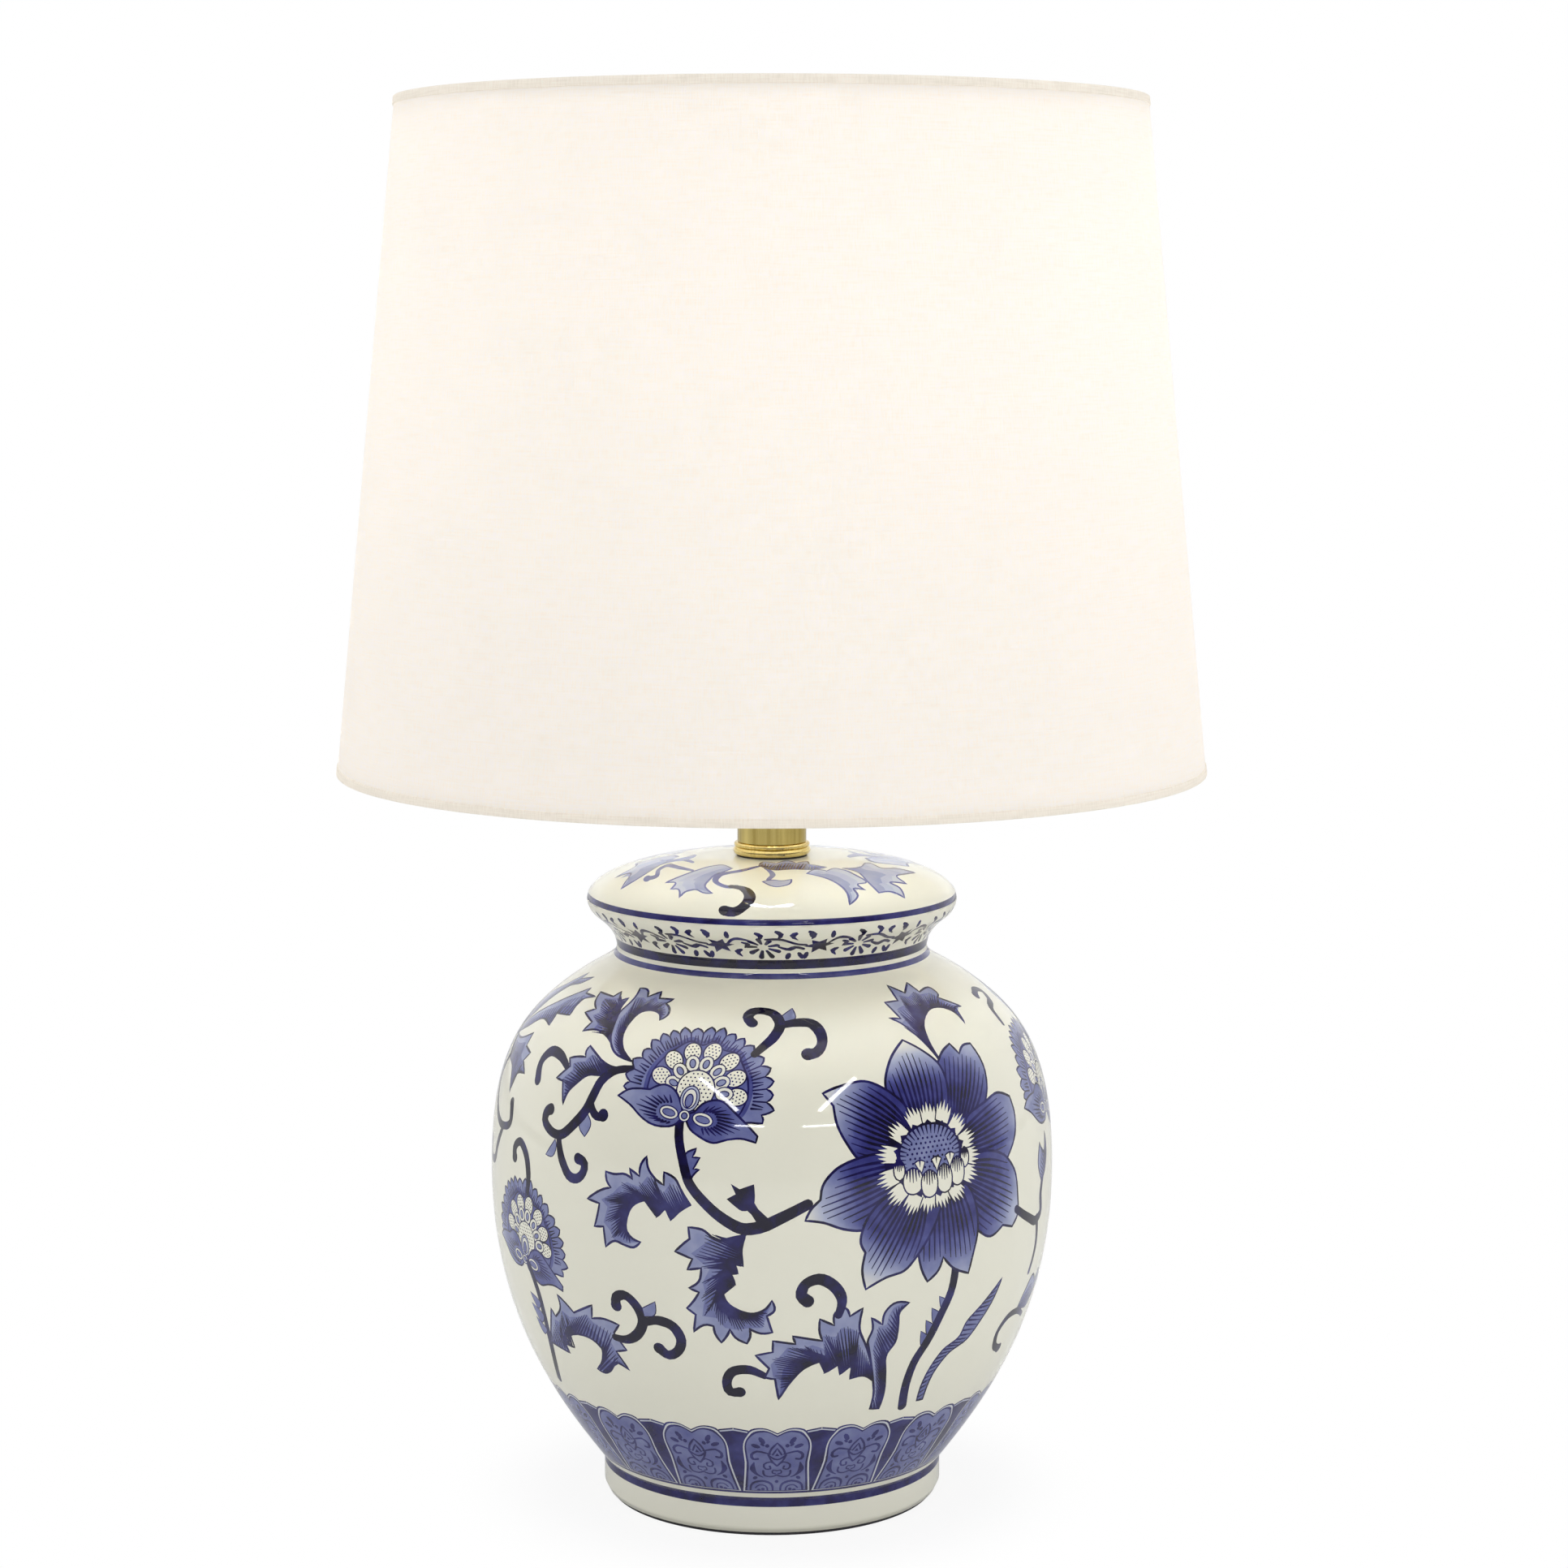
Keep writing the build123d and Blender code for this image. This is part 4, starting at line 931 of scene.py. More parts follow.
lid_runs = [
    np.vstack([bend(*lid_bend), (tube_hole, crown[1])]),
    np.array([(tube_hole, crown[1]), (tube_hole, lid_under)]),
    np.vstack([(tube_hole, lid_under), inner_part, (flange_inner, flange_meets[0])]),
    np.array([(flange_inner, flange_meets[0]), (flange_inner, flange_low)]),
    np.array([(flange_inner, flange_low), (flange_radius, flange_low)]),
    np.array([(flange_radius, flange_low), (flange_radius, flange_meets[1])]),
    np.vstack([(flange_radius, flange_meets[1]), outer_part]),
    np.array([outer_part[-1], rim]),
]


class Pot:
    """A turned pot. around is the distance round it at reference_radius, and along the way up its outline."""

    def __init__(self, runs, reference_radius, seam_degrees):
        self.reference = reference_radius
        self.width = 2 * math.pi * reference_radius
        self.seam = math.radians(seam_degrees) * reference_radius
        self.layers = []  # the brushwork on it: outlines on its flat skin, and their ink
        self.runs, start = [], 0.0
        for run in runs:
            run = run[np.append(True, np.hypot(*np.diff(run, axis=0).T) > 1e-6)]
            along = start + np.append(0, np.cumsum(np.hypot(*np.diff(run, axis=0).T)))
            self.runs.append((along, run, np.gradient(run, along, axis=0)))
            start = along[-1]
        self.length = start
        self.along = np.concatenate([along for along, _, _ in self.runs])
        self.outline = np.concatenate([run for _, run, _ in self.runs])

    def radius(self, along):
        return np.interp(along, self.along, self.outline[:, 0])

    def level(self, along):
        return np.interp(along, self.along, self.outline[:, 1])

    def along_at(self, run_index, level):
        """The way up the outline to a level on a rising run."""
        along, run, _ = self.runs[run_index]
        return float(np.interp(level, run[:, 1], along))

    def place(self, flat):
        """Points of the rolled pot, in mm, from points on the flat skin."""
        turn = flat[:, 0] / self.reference
        radius = self.radius(flat[:, 1])
        return np.stack([radius * np.sin(turn), -radius * np.cos(turn), self.level(flat[:, 1])], axis=1)

    def outward(self, flat, run_numbers):
        """Which way the skin faces at points on the flat skin, each seen as part of its own run."""
        turn = flat[:, 0] / self.reference
        facing = np.zeros((len(flat), 3))
        for number, (along, _, slope) in enumerate(self.runs):
            here = run_numbers == number
            out = np.interp(flat[here, 1], along, slope[:, 1])
            up = -np.interp(flat[here, 1], along, slope[:, 0])
            facing[here] = np.stack([out * np.sin(turn[here]), -out * np.cos(turn[here]), up], axis=1)
        return facing / np.linalg.norm(facing, axis=1)[:, None]


jar = Pot(jar_runs, belly[0], seam_degrees=-170)
lid = Pot(lid_runs, rim[0], seam_degrees=-170)
belly_along = jar.along_at(1, belly[1])
print("jar outline %.0f mm long, lid outline %.0f mm" % (jar.length, lid.length))

# %% [markdown]
# ## Brushwork
#
# A brush knows three things: where on the pot it works, how dark its cobalt is, and the layers already laid.
# Its sheet is flat there, in mm, x to the right and y up the pot. Ink runs from 0, bare glaze, to 1, the
# near-black of a loaded brush. A point with a third number is a corner; the line bends softly at the others.


# %% Lines
def soft_line(points, closed=False, step=1.8):
    """A smooth line through the points, turning sharply only at those that carry a third number."""
    place = np.array([p[:2] for p in points], float)
    corner = [len(p) > 2 for p in points]
    count = len(place)
    ahead = np.roll(place, -1, axis=0) - place
    gap = np.maximum(np.hypot(*ahead.T), 1e-6)[:, None]
    slope = ahead / gap
    gap_before, slope_before = np.roll(gap, 1, axis=0), np.roll(slope, 1, axis=0)
    middle = (slope_before * gap + slope * gap_before) / (gap + gap_before)
    if not closed:
        corner[0] = corner[-1] = True
    line = []
    for i in range(count if closed else count - 1):
        j = (i + 1) % count
        leave = slope[i] if corner[i] else middle[i]
        reach = slope[i] if corner[j] else middle[j]
        if corner[i] and not corner[j]:
            leave = 1.5 * slope[i] - 0.5 * reach
        if corner[j] and not corner[i]:
            reach = 1.5 * slope[i] - 0.5 * leave
        pieces = max(1, math.ceil(gap[i, 0] / step))
        t = (np.arange(pieces) / pieces)[:, None]
        line.append(
            (2 * t**3 - 3 * t**2 + 1) * place[i]
            + (t**3 - 2 * t**2 + t) * leave * gap[i]
            + (3 * t**2 - 2 * t**3) * place[j]
            + (t**3 - t**2) * reach * gap[i]
        )
    return np.vstack(line if closed else [*line, place[-1:]])


def ribbon(line, widths, closed=False):
    """The outline of a brushstroke along a line, with round ends."""
    if closed:
        line = np.vstack([line, line[:2]])
    count = len(line)
    half = np.interp(np.linspace(0, 1, count), np.linspace(0, 1, len(widths)), widths)[:, None] / 2
    run = np.gradient(line, axis=0)
    run /= np.maximum(np.hypot(*run.T), 1e-9)[:, None]
    side = np.stack([-run[:, 1], run[:, 0]], axis=1)
    caps = []
    for end, way in ((-1, 1), (0, -1)):
        if half[end, 0] > 0.25:
            turn = np.radians([60, 20, -20, -60] if half[end, 0] > 0.8 else [40, -40])
            caps.append(
                line[end]
                + half[end] * way * (np.outer(np.cos(turn), run[end]) + np.outer(np.sin(turn), side[end]))
            )
        else:
            caps.append(np.empty((0, 2)))
    return np.vstack([line + side * half, caps[0], (line - side * half)[::-1], caps[1]])


def oval(centre, across, up, tilt=0.0, steps=16):
    """Points of an ellipse, tilted by degrees."""
    turn = np.arange(steps) * 2 * math.pi / steps
    flat = np.stack([across * np.cos(turn), up * np.sin(turn)], axis=1)
    c, s = math.cos(math.radians(tilt)), math.sin(math.radians(tilt))
    return flat @ np.array([[c, s], [-s, c]]) + np.array(centre)


def measured(line):
    """How far along itself each point of a line is, from 0 to 1."""
    far = np.append(0, np.cumsum(np.hypot(*np.diff(line, axis=0).T)))
    return far / far[-1]


def along_line(line, share):
    """Points at given shares of a line's length."""
    far = measured(line)
    return np.stack([np.interp(share, far, line[:, 0]), np.interp(share, far, line[:, 1])], axis=-1)


def thinned(outline, tolerance, longest=6.0):
    """The same closed outline without the points that hardly bend it."""
    for _ in range(3):
        before, after = np.roll(outline, 1, axis=0), np.roll(outline, -1, axis=0)
        chord, arm = after - before, outline - before
        span = np.maximum(np.hypot(*chord.T), 1e-9)
        off = np.abs(chord[:, 0] * arm[:, 1] - chord[:, 1] * arm[:, 0]) / span
        dull = (off < tolerance) & (span < longest)
        dull[::2] = False
        outline = outline[~dull]
    return outline


class Brush:
    """Paints layers on a pot about a point of it, turned and sized as asked."""

    def __init__(self, pot, degrees, along, tilt=0.0, size=1.0, flip=False):
        self.pot, self.turn, self.along = pot, math.radians(degrees), along
        c, s = size * math.cos(math.radians(tilt)), size * math.sin(math.radians(tilt))
        self.matrix = np.array([[c, s], [-s, c]])
        if flip:
            self.matrix[0] = -self.matrix[0]

    def flat(self, points):
        """Points of the sheet on the pot's flat skin."""
        moved = np.asarray(points, float) @ self.matrix
        along = self.along + moved[:, 1]
        turn = self.turn + moved[:, 0] / self.pot.radius(along)
        return np.stack([turn * self.pot.reference, along], axis=1)

    def lay(self, outline, ink, to_ink=None, fade=None, tolerance=0.08):
        """One flat layer. With fade, two points, the ink changes evenly from the first to the second."""
        ends = None if fade is None else self.flat(fade)
        flat = self.flat(thinned(np.asarray(outline, float), tolerance))
        self.pot.layers.append((flat, ink, ink if to_ink is None else to_ink, ends))

    def stroke(self, points, width, ink=0.93, closed=False, smooth=True):
        widths = width if isinstance(width, (list, tuple)) else [width, width]
        line = soft_line(points, closed) if smooth else np.asarray(points, float)
        self.lay(ribbon(line, widths, closed), ink)

    def curl(self, points, width=4.3, ball=2.6, ink=0.97):
        """A dark tendril that ends in a ball."""
        self.stroke(points, [width * 0.7, width, width * 1.05, width * 0.9, width * 1.1], ink)
        if ball:
            self.lay(oval(points[-1][:2], ball, ball, steps=14), ink)

    def shape(self, points, ink, line=0.8, line_ink=0.9, **fading):
        """A filled and outlined shape."""
        outline = soft_line(points, closed=True)
        self.lay(outline, ink, tolerance=line / 4, **fading)
        if line:
            self.stroke(outline, line, line_ink, closed=True, smooth=False)
        return outline

    def comb(self, root_line, edge_line, spacing=2.05, start=0.03, end=0.7, width=0.95, ink=0.9, lean=0.0):
        """Fine veins from a root line towards an edge."""
        far = np.hypot(*np.diff(edge_line, axis=0).T).sum()
        share = np.linspace(0.04, 0.96, max(3, int(far / spacing)))
        roots = along_line(root_line, np.clip(share - lean, 0, 1))
        edges = along_line(edge_line, share)
        for root, edge in zip(roots, edges):
            vein = [root + (edge - root) * f for f in (start, (start + end) / 2, end)]
            self.lay(ribbon(np.array(vein), [width, width * 0.8, width * 0.25]), ink)

    def leaf(self, outer, inner, ink=0.47, line_ink=0.9, veins=True):
        """A leaf: the lobed edge from base to tip, then the smooth way back. It is darker by the spine."""
        edge, spine = soft_line(outer), soft_line([outer[-1], *inner, outer[0]])[::-1]
        outline = np.vstack([edge, spine[::-1][1:-1]])
        self.lay(outline, ink * 0.78, tolerance=0.22)
        share = np.linspace(0, 1, 18)
        roots, edges = along_line(spine, share), along_line(edge, share)
        for reach, deeper in ((0.72, 0.0), (0.38, 0.12)):
            wash = np.vstack([roots, (roots + (edges - roots) * reach)[::-1]])
            self.lay(wash, ink + deeper, tolerance=0.15)
        if veins:
            self.comb(spine, edge, lean=0.06)
        self.stroke(outline, 1.0, line_ink, closed=True, smooth=False)


print("a small dot is drawn with", len(oval((0, 0), 1, 1, steps=5)), "points")


# %% [markdown]
# A peony is painted from the outside in: a frill, lobes filled with dots, then arches and a dome, each
# drawn over the last. The frill could be one wave, repeated; its tips are placed one by one.

# %% Peony
frill_tips = [(-30.5, 1), (-30.5, 6), (-28.5, 12.5), (-24.5, 17), (-22, 22), (-18, 25.5), (-14, 27.5),
              (-9.5, 29.5)]
frill_tips += [(-4, 29.5), (1.5, 30.5), (6.5, 30.5), (11.5, 27.5), (15.5, 25.5), (20, 22), (25, 16.5),
               (28.5, 12)]
frill_tips += [(30.5, 6.5), (31, 1), (32, -5), (28, -10)]
seed_lobes = [(-14.5, 7), (-10.5, 14), (-3.5, 18), (4.5, 18.5), (12, 14.5), (15.5, 7.5), (17, 0)]
arches = [(-9, 4.5), (-7, 9.5), (-2.5, 13), (3, 13), (8, 10), (10.2, 5.5), (12, 1)]


def rings(brush, centre, tilt, steps, *sizes):
    """Ovals one inside another: half the width, half the height and the ink of each."""
    for across, up, ink in sizes:
        brush.lay(oval(centre, across, up, tilt, steps=steps), ink)


def dotted(brush, centre, across, up, gap, size, tilt=0.0, ink=0.9):
    """Dots in staggered rows that fill an ellipse."""
    c, s = math.cos(math.radians(tilt)), math.sin(math.radians(tilt))
    rows, columns = int(up / gap) + 1, int(across / gap) + 1
    for row in range(-rows, rows + 1):
        for column in range(-columns, columns + 1):
            x, y = (column + 0.5 * (row % 2)) * gap, row * gap * 0.88
            if (x / across) ** 2 + (y / up) ** 2 < 1:
                dot = (centre[0] + c * x - s * y, centre[1] + s * x + c * y)
                brush.lay(oval(dot, size, size, 45, steps=5), ink)


def peony(brush):
    """A peony, 63 mm wide: a frill, seven dotted lobes, arches, a dome, two low petals and a trefoil."""
    tips = np.array(frill_tips, float)
    valleys = (tips[:-1] + tips[1:]) / 2
    valleys *= 1 - 2.7 / np.hypot(*valleys.T)[:, None]
    frill = [(-26, -2, 1)]
    for i, tip in enumerate(tips):
        low = valleys[max(i - 1, 0)] if i else tip * 0.9 - (0, 1.5)
        high = valleys[i] if i < len(valleys) else tip * 0.88 + (-1, -1)
        swell = tip * 1.2 / np.hypot(*tip)
        rise, fall = 0.5 * (low + tip) + 0.45 * swell, 0.5 * (high + tip) + 0.45 * swell
        frill += [(*rise,), (*tip, 1), (*fall,), (*high, 1)]
    outline = brush.shape([*frill, (18, -10), (0, -6)], 0.44, line=0.85)
    around = soft_line(
        [(-19, -4), (-18.8, 9), (-15.5, 14.5), (-11.5, 18.8), (-4.5, 23.5), (0, 21.8), (4, 24), (9, 20),
         (14, 18.8)]
        + [(18, 13), (20.8, 7), (21.5, 0), (19, -7), (0, -8)],
        closed=True,
    )
    brush.lay(around * 1.07, 0.62)
    for i, (low, high) in enumerate(zip(valleys[:-1], valleys[1:])):
        tip = tips[i + 1]
        brush.lay(ribbon(np.array([low, low * 0.82]), [0.6, 0.7]), 0.88)
        for share in (0.3, 0.68):
            root = (low + (high - low) * share) * 0.83
            brush.lay(ribbon(np.array([root, root + (tip - root) * 0.5]), [0.95, 0.3]), 0.88)
    brush.lay(around, 0.88)
    brush.lay(around * 0.965, 0.56)
    for x, y in seed_lobes:
        tip = math.degrees(math.atan2(-x, y - 1))
        rings(brush, (x, y), tip, 18, (3.9, 4.7, 0.9), (3.25, 4.05, 0.0))
        dotted(brush, (x, y), 2.6, 3.3, 1.5, 0.38, tip)
    for x, y in arches:
        tip = math.degrees(math.atan2(-x, y - 1))
        rings(brush, (x, y), tip, 14, (3.1, 3.8, 0.9), (2.6, 3.3, 0.02), (1.45, 2.15, 0.9),
              (0.95, 1.65, 0.42))
    rings(brush, (0.4, 2.2), 0, 28, (8.0, 8.4, 0.9), (7.4, 7.8, 0.0))
    dotted(brush, (0.4, 2.6), 6.8, 7.0, 1.75, 0.4)

    left = [(-32.5, -3, 1), (-28, 0), (-21, 1), (-18.5, 1, 1), (-16, 2.5), (-12.5, 3.5), (-8.5, 2), (-5, -3),
            (-4, -9)]
    left += [(-6, -11.5), (-12, -13), (-17.5, -12), (-22.5, -9), (-25.5, -6.5)]
    right = [(1, -6.5, 1), (5, -2.5), (10.5, -1.5), (17.5, -6.5), (22.5, -11), (26.5, -15, 1), (26, -17.5, 1)]
    right += [(20, -16), (15, -16.5), (9.5, -18), (4, -16), (-1, -12), (-2, -8)]
    brush.shape(left, 0.55, to_ink=0.36, fade=[(-6, -6), (-30, -3)], line=0.85)
    brush.shape(right, 0.66, to_ink=0.46, fade=[(0, -8), (26, -16)], line=0.85)
    near_left = soft_line([(-8, -3.6), (-13.4, -5), (-13.8, -9), (-8, -11)])
    far_left = soft_line([(-8.5, 0.5), (-16, -0.5), (-22, -1.5), (-25.5, -4.5), (-20, -9.5), (-9, -12)])
    brush.comb(near_left, far_left, spacing=2.7, start=0.1, end=0.85, width=0.95)
    near_right = soft_line([(4, -6.8), (8.6, -6.8), (9.6, -10.5), (4, -12.6)])
    far_right = soft_line([(5.5, -3.8), (12, -3.5), (18, -8.5), (21.5, -13), (14, -15.5), (4, -15.5)])
    brush.comb(near_right, far_right, spacing=2.7, start=0.1, end=0.85, width=0.95)
    rings(brush, (-1.4, -1.4), -10, 22, (4.1, 5.4, 0.9), (3.6, 4.9, 0.25), (3.0, 4.2, 0.8), (2.5, 3.7, 0.05))
    rings(brush, (-1.6, -2.2), -10, 18, (1.8, 2.9, 0.86), (1.3, 2.4, 0.5))
    rings(brush, (-9.4, -7.3), -12, 20, (4.2, 2.8, 0.85), (3.7, 2.3, 0.05), (2.9, 1.6, 0.82), (2.5, 1.2, 0.5))
    rings(brush, (4.6, -9.3), -14, 20, (4.4, 2.9, 0.85), (3.9, 2.4, 0.05), (3.1, 1.6, 0.82), (2.7, 1.2, 0.5))
    rings(brush, (-2.9, -8.2), 0, 16, (2.5, 2.5, 0.85), (2.0, 2.0, 0.05), (1.45, 1.45, 0.86), (1.0, 1.0, 0.5))


print("peony:", len(frill_tips), "frill tips")

# %% [markdown]
# The lotus has broad petals that pale towards their tips, a ring of torn florets and a dotted seed head. One
# table holds what differs between the petals, and one loop paints them all.

# %% Lotus
lotus_petals = [  # each: the outline, where its ink is darkest and where it is palest, and how pale
    ([(6, 12), (12, 36), (16, 40), (22, 43, 1), (25, 38, 1), (29, 41), (34, 41, 1), (37, 30), (34, 19),
      (20, 10)],
     (22, 20), (28, 44), 0.25),
    ([(-10, 15), (-15, 29), (-10, 39), (0, 48, 1), (7, 42), (12, 36), (9, 15)], (-2, 18), (-2, 46), 0.05),
    ([(20, 12), (33, 17), (41, 19), (50, 16, 1), (52, 8), (51, 2), (44, -7, 1), (22, -6)], (26, 4), (54, 10),
     0.3),
    ([(20, -4), (43, -7), (49, -14), (51, -24), (51, -32), (47, -36, 1), (40, -34, 1), (32, -37), (24, -33),
      (14, -15)],
     (26, -16), (52, -28), 0.2),
    ([(-8, 20), (-14, 27), (-23, 32), (-32, 31), (-36, 30), (-41, 28, 1), (-38, 23, 1), (-38, 16), (-35, 8),
      (-30, 1), (-15, 2)],
     (-18, 12), (-42, 25), 0.08),
    ([(-16, 2), (-32, 2), (-41, -2), (-46, -8), (-47, -13, 1), (-51, -17), (-53, -21, 1), (-46, -22),
      (-38, -25), (-31, -26), (-13, -14)],
     (-20, -8), (-52, -18), 0.08),
    ([(-4, -16), (-6, -38), (-4, -45), (-1, -50, 1), (4, -46), (6, -41, 1), (11, -46), (20, -50, 1),
      (22, -42), (24, -34), (17, -13)],
     (8, -20), (10, -50), 0.3),
    ([(-17, -12), (-30, -25), (-31, -31), (-29, -35, 1), (-30, -42), (-28, -50, 1), (-20, -46), (-12, -44),
      (-6, -38), (4, -16)],
     (-12, -22), (-27, -48), 0.08),
]


floret_tips = [(-7, 19.5), (1.5, 20.5), (10.5, 20), (18, 13.5), (23, 5.5), (25, -3), (23, -11), (15, -18.5),
               (6, -20.5)]
floret_tips += [(-2.5, -21.5), (-11, -21), (-19, -16), (-23.5, -8), (-23, 3.5), (-16.5, 13.5)]
front_petals = [(-14.3, -8, 5.0, 8), (17.2, -6.5, 4.4, 8), (-8.4, -14, 9.0, 10.5), (13, -13, 7.2, 11.5)]
front_petals += [(6.4, -15, 7.6, 11.5), (-0.9, -16, 7.8, 11)]


def lotus(brush):
    """An open lotus, 100 mm wide: eight petals, a ring of torn florets and a dotted seed head."""
    for petal, dark, pale, least in lotus_petals:
        root, tip = np.array(dark, float) * 0.72, np.array(pale, float)
        dark_end = root + (tip - root) * 0.42
        outline = brush.shape(petal, 0.72, line=1.05, line_ink=0.92, to_ink=least, fade=[dark_end, tip])
        way = (tip - root) / np.hypot(*(tip - root))
        side = np.array((-way[1], way[0]))
        spread, reach = (outline - root) @ side, (outline - root) @ way
        low, high = spread.min(), spread.max()
        for offset in np.linspace(low + 1.8, high - 1.8, max(4, round((high - low) / 2.7))):
            near = np.abs(spread - offset) < 2.6
            top = reach[near].max()
            if top > 12:
                start = root + side * offset * 0.55
                head = root + side * offset * 0.96 + way * top * (0.84 - 0.12 * abs(offset) / max(high, -low))
                bow = (start + head) / 2 + side * offset * 0.08
                brush.stroke([start, bow, head], [1.4, 1.1, 0.35], 0.93)

    heart = np.array((0.5, -1.0))
    brush.lay(oval(heart, 21.0, 19.5, steps=40), 0.92)
    for tip in np.array(floret_tips, float):
        reach = np.hypot(*(tip - heart))
        out = (tip - heart) / reach
        side = np.array((out[1], -out[0]))
        torn = [(-2.9, 0.66), (-3.6, 0.80), (-3.5, 0.93), (-2.6, 0.83), (-2.0, 0.99), (-1.2, 0.84),
                (-0.4, 1.04)]
        torn += [(0.5, 0.84), (1.4, 1.0), (2.1, 0.83), (3.2, 0.95), (3.4, 0.80), (2.9, 0.66)]
        brush.lay(np.array([heart + out * reach * far + side * across for across, far in torn]), 0.0)
        for across in (-3.7, 3.7):
            inner_end = heart + out * reach * 0.64 + side * across * 0.85
            outer_end = heart + out * reach * 0.86 + side * across
            brush.lay(ribbon(np.array([inner_end, outer_end]), [0.5, 0.6]), 0.92)
    crown = []
    for i in range(30):
        a = 2 * math.pi * (i + 0.5) / 30
        far = (17.6, 15.6) if i % 2 else (14.6, 13.2)
        crown.append((heart[0] + far[0] * math.cos(a), heart[1] + far[1] * math.sin(a), 1))
    brush.lay(soft_line(crown, closed=True), 0.9)
    brush.lay(oval((0.5, 1.6), 14.0, 10.8, steps=32), 0.44)
    for i in range(26):
        a = math.radians(-12 + i * 204 / 25)
        ray = np.array((math.cos(a), math.sin(a)))
        brush.lay(ribbon(np.array([heart + ray * (15.8, 13.8), heart + ray * (11.6, 9.9)]), [1.1, 0.25]), 0.9)
    dotted(brush, (0.5, 1.8), 11.0, 7.4, 2.15, 0.56)
    for x, y, tip in ((-5, -3.6, 8), (2.8, -3.0, 0), (9.6, -2.2, -8)):
        seed = [(x - 2.4, y + 1.8, 1), (x, y + 2.8), (x + 2.4, y + 1.8, 1), (x + tip * 0.05, y - 3, 1)]
        brush.shape(seed, 0.0, line=0.6)
        brush.lay(ribbon(np.array([(x, y + 2.6), (x, y)]), [0.8, 0.2]), 0.9)
    for x, low, wide, tall in front_petals:
        h = wide / 2
        brush.shape(
            [(x, low + tall, 1), (x - h * 0.7, low + tall * 0.86), (x - h, low + tall * 0.5),
             (x - h * 0.62, low + 0.9)]
            + [(x, low), (x + h * 0.62, low + 0.9), (x + h, low + tall * 0.5),
               (x + h * 0.7, low + tall * 0.86)],
            0.0,
            line=0.65,
            line_ink=0.92,
        )
        for share, down in ((-0.66, 0.60), (-0.33, 0.48), (0.0, 0.44), (0.33, 0.48), (0.66, 0.60)):
            top = (x + share * h * 0.85, low + tall * (0.99 - abs(share) * 0.22))
            brush.lay(ribbon(np.array([top, (x + share * h, low + tall * down)]), [1.0, 0.3]), 0.92)


def little_bud(brush, points):
    """A small closed bud."""
    brush.shape(points, 0.42, line=0.45)


def thorns(brush, points):
    """Spines on a stem: pairs of a root and a tip."""
    for root, tip in zip(points[::2], points[1::2]):
        root, tip = np.array(root, float), np.array(tip, float)
        side = np.array((-(tip - root)[1], (tip - root)[0])) * 0.22
        brush.shape([root - side, (*tip, 1), root + side], 0.5, line=0.4)


print("lotus:", len(lotus_petals), "petals")

# %% [markdown]
# ## The garden on the jar
#
# One side of the jar carries a lotus between peonies, tied by one running stem. The same garden is painted
# again on the back. Each sprig is drawn about a point of its own, given as degrees to the right of the
# front and mm above the belly.


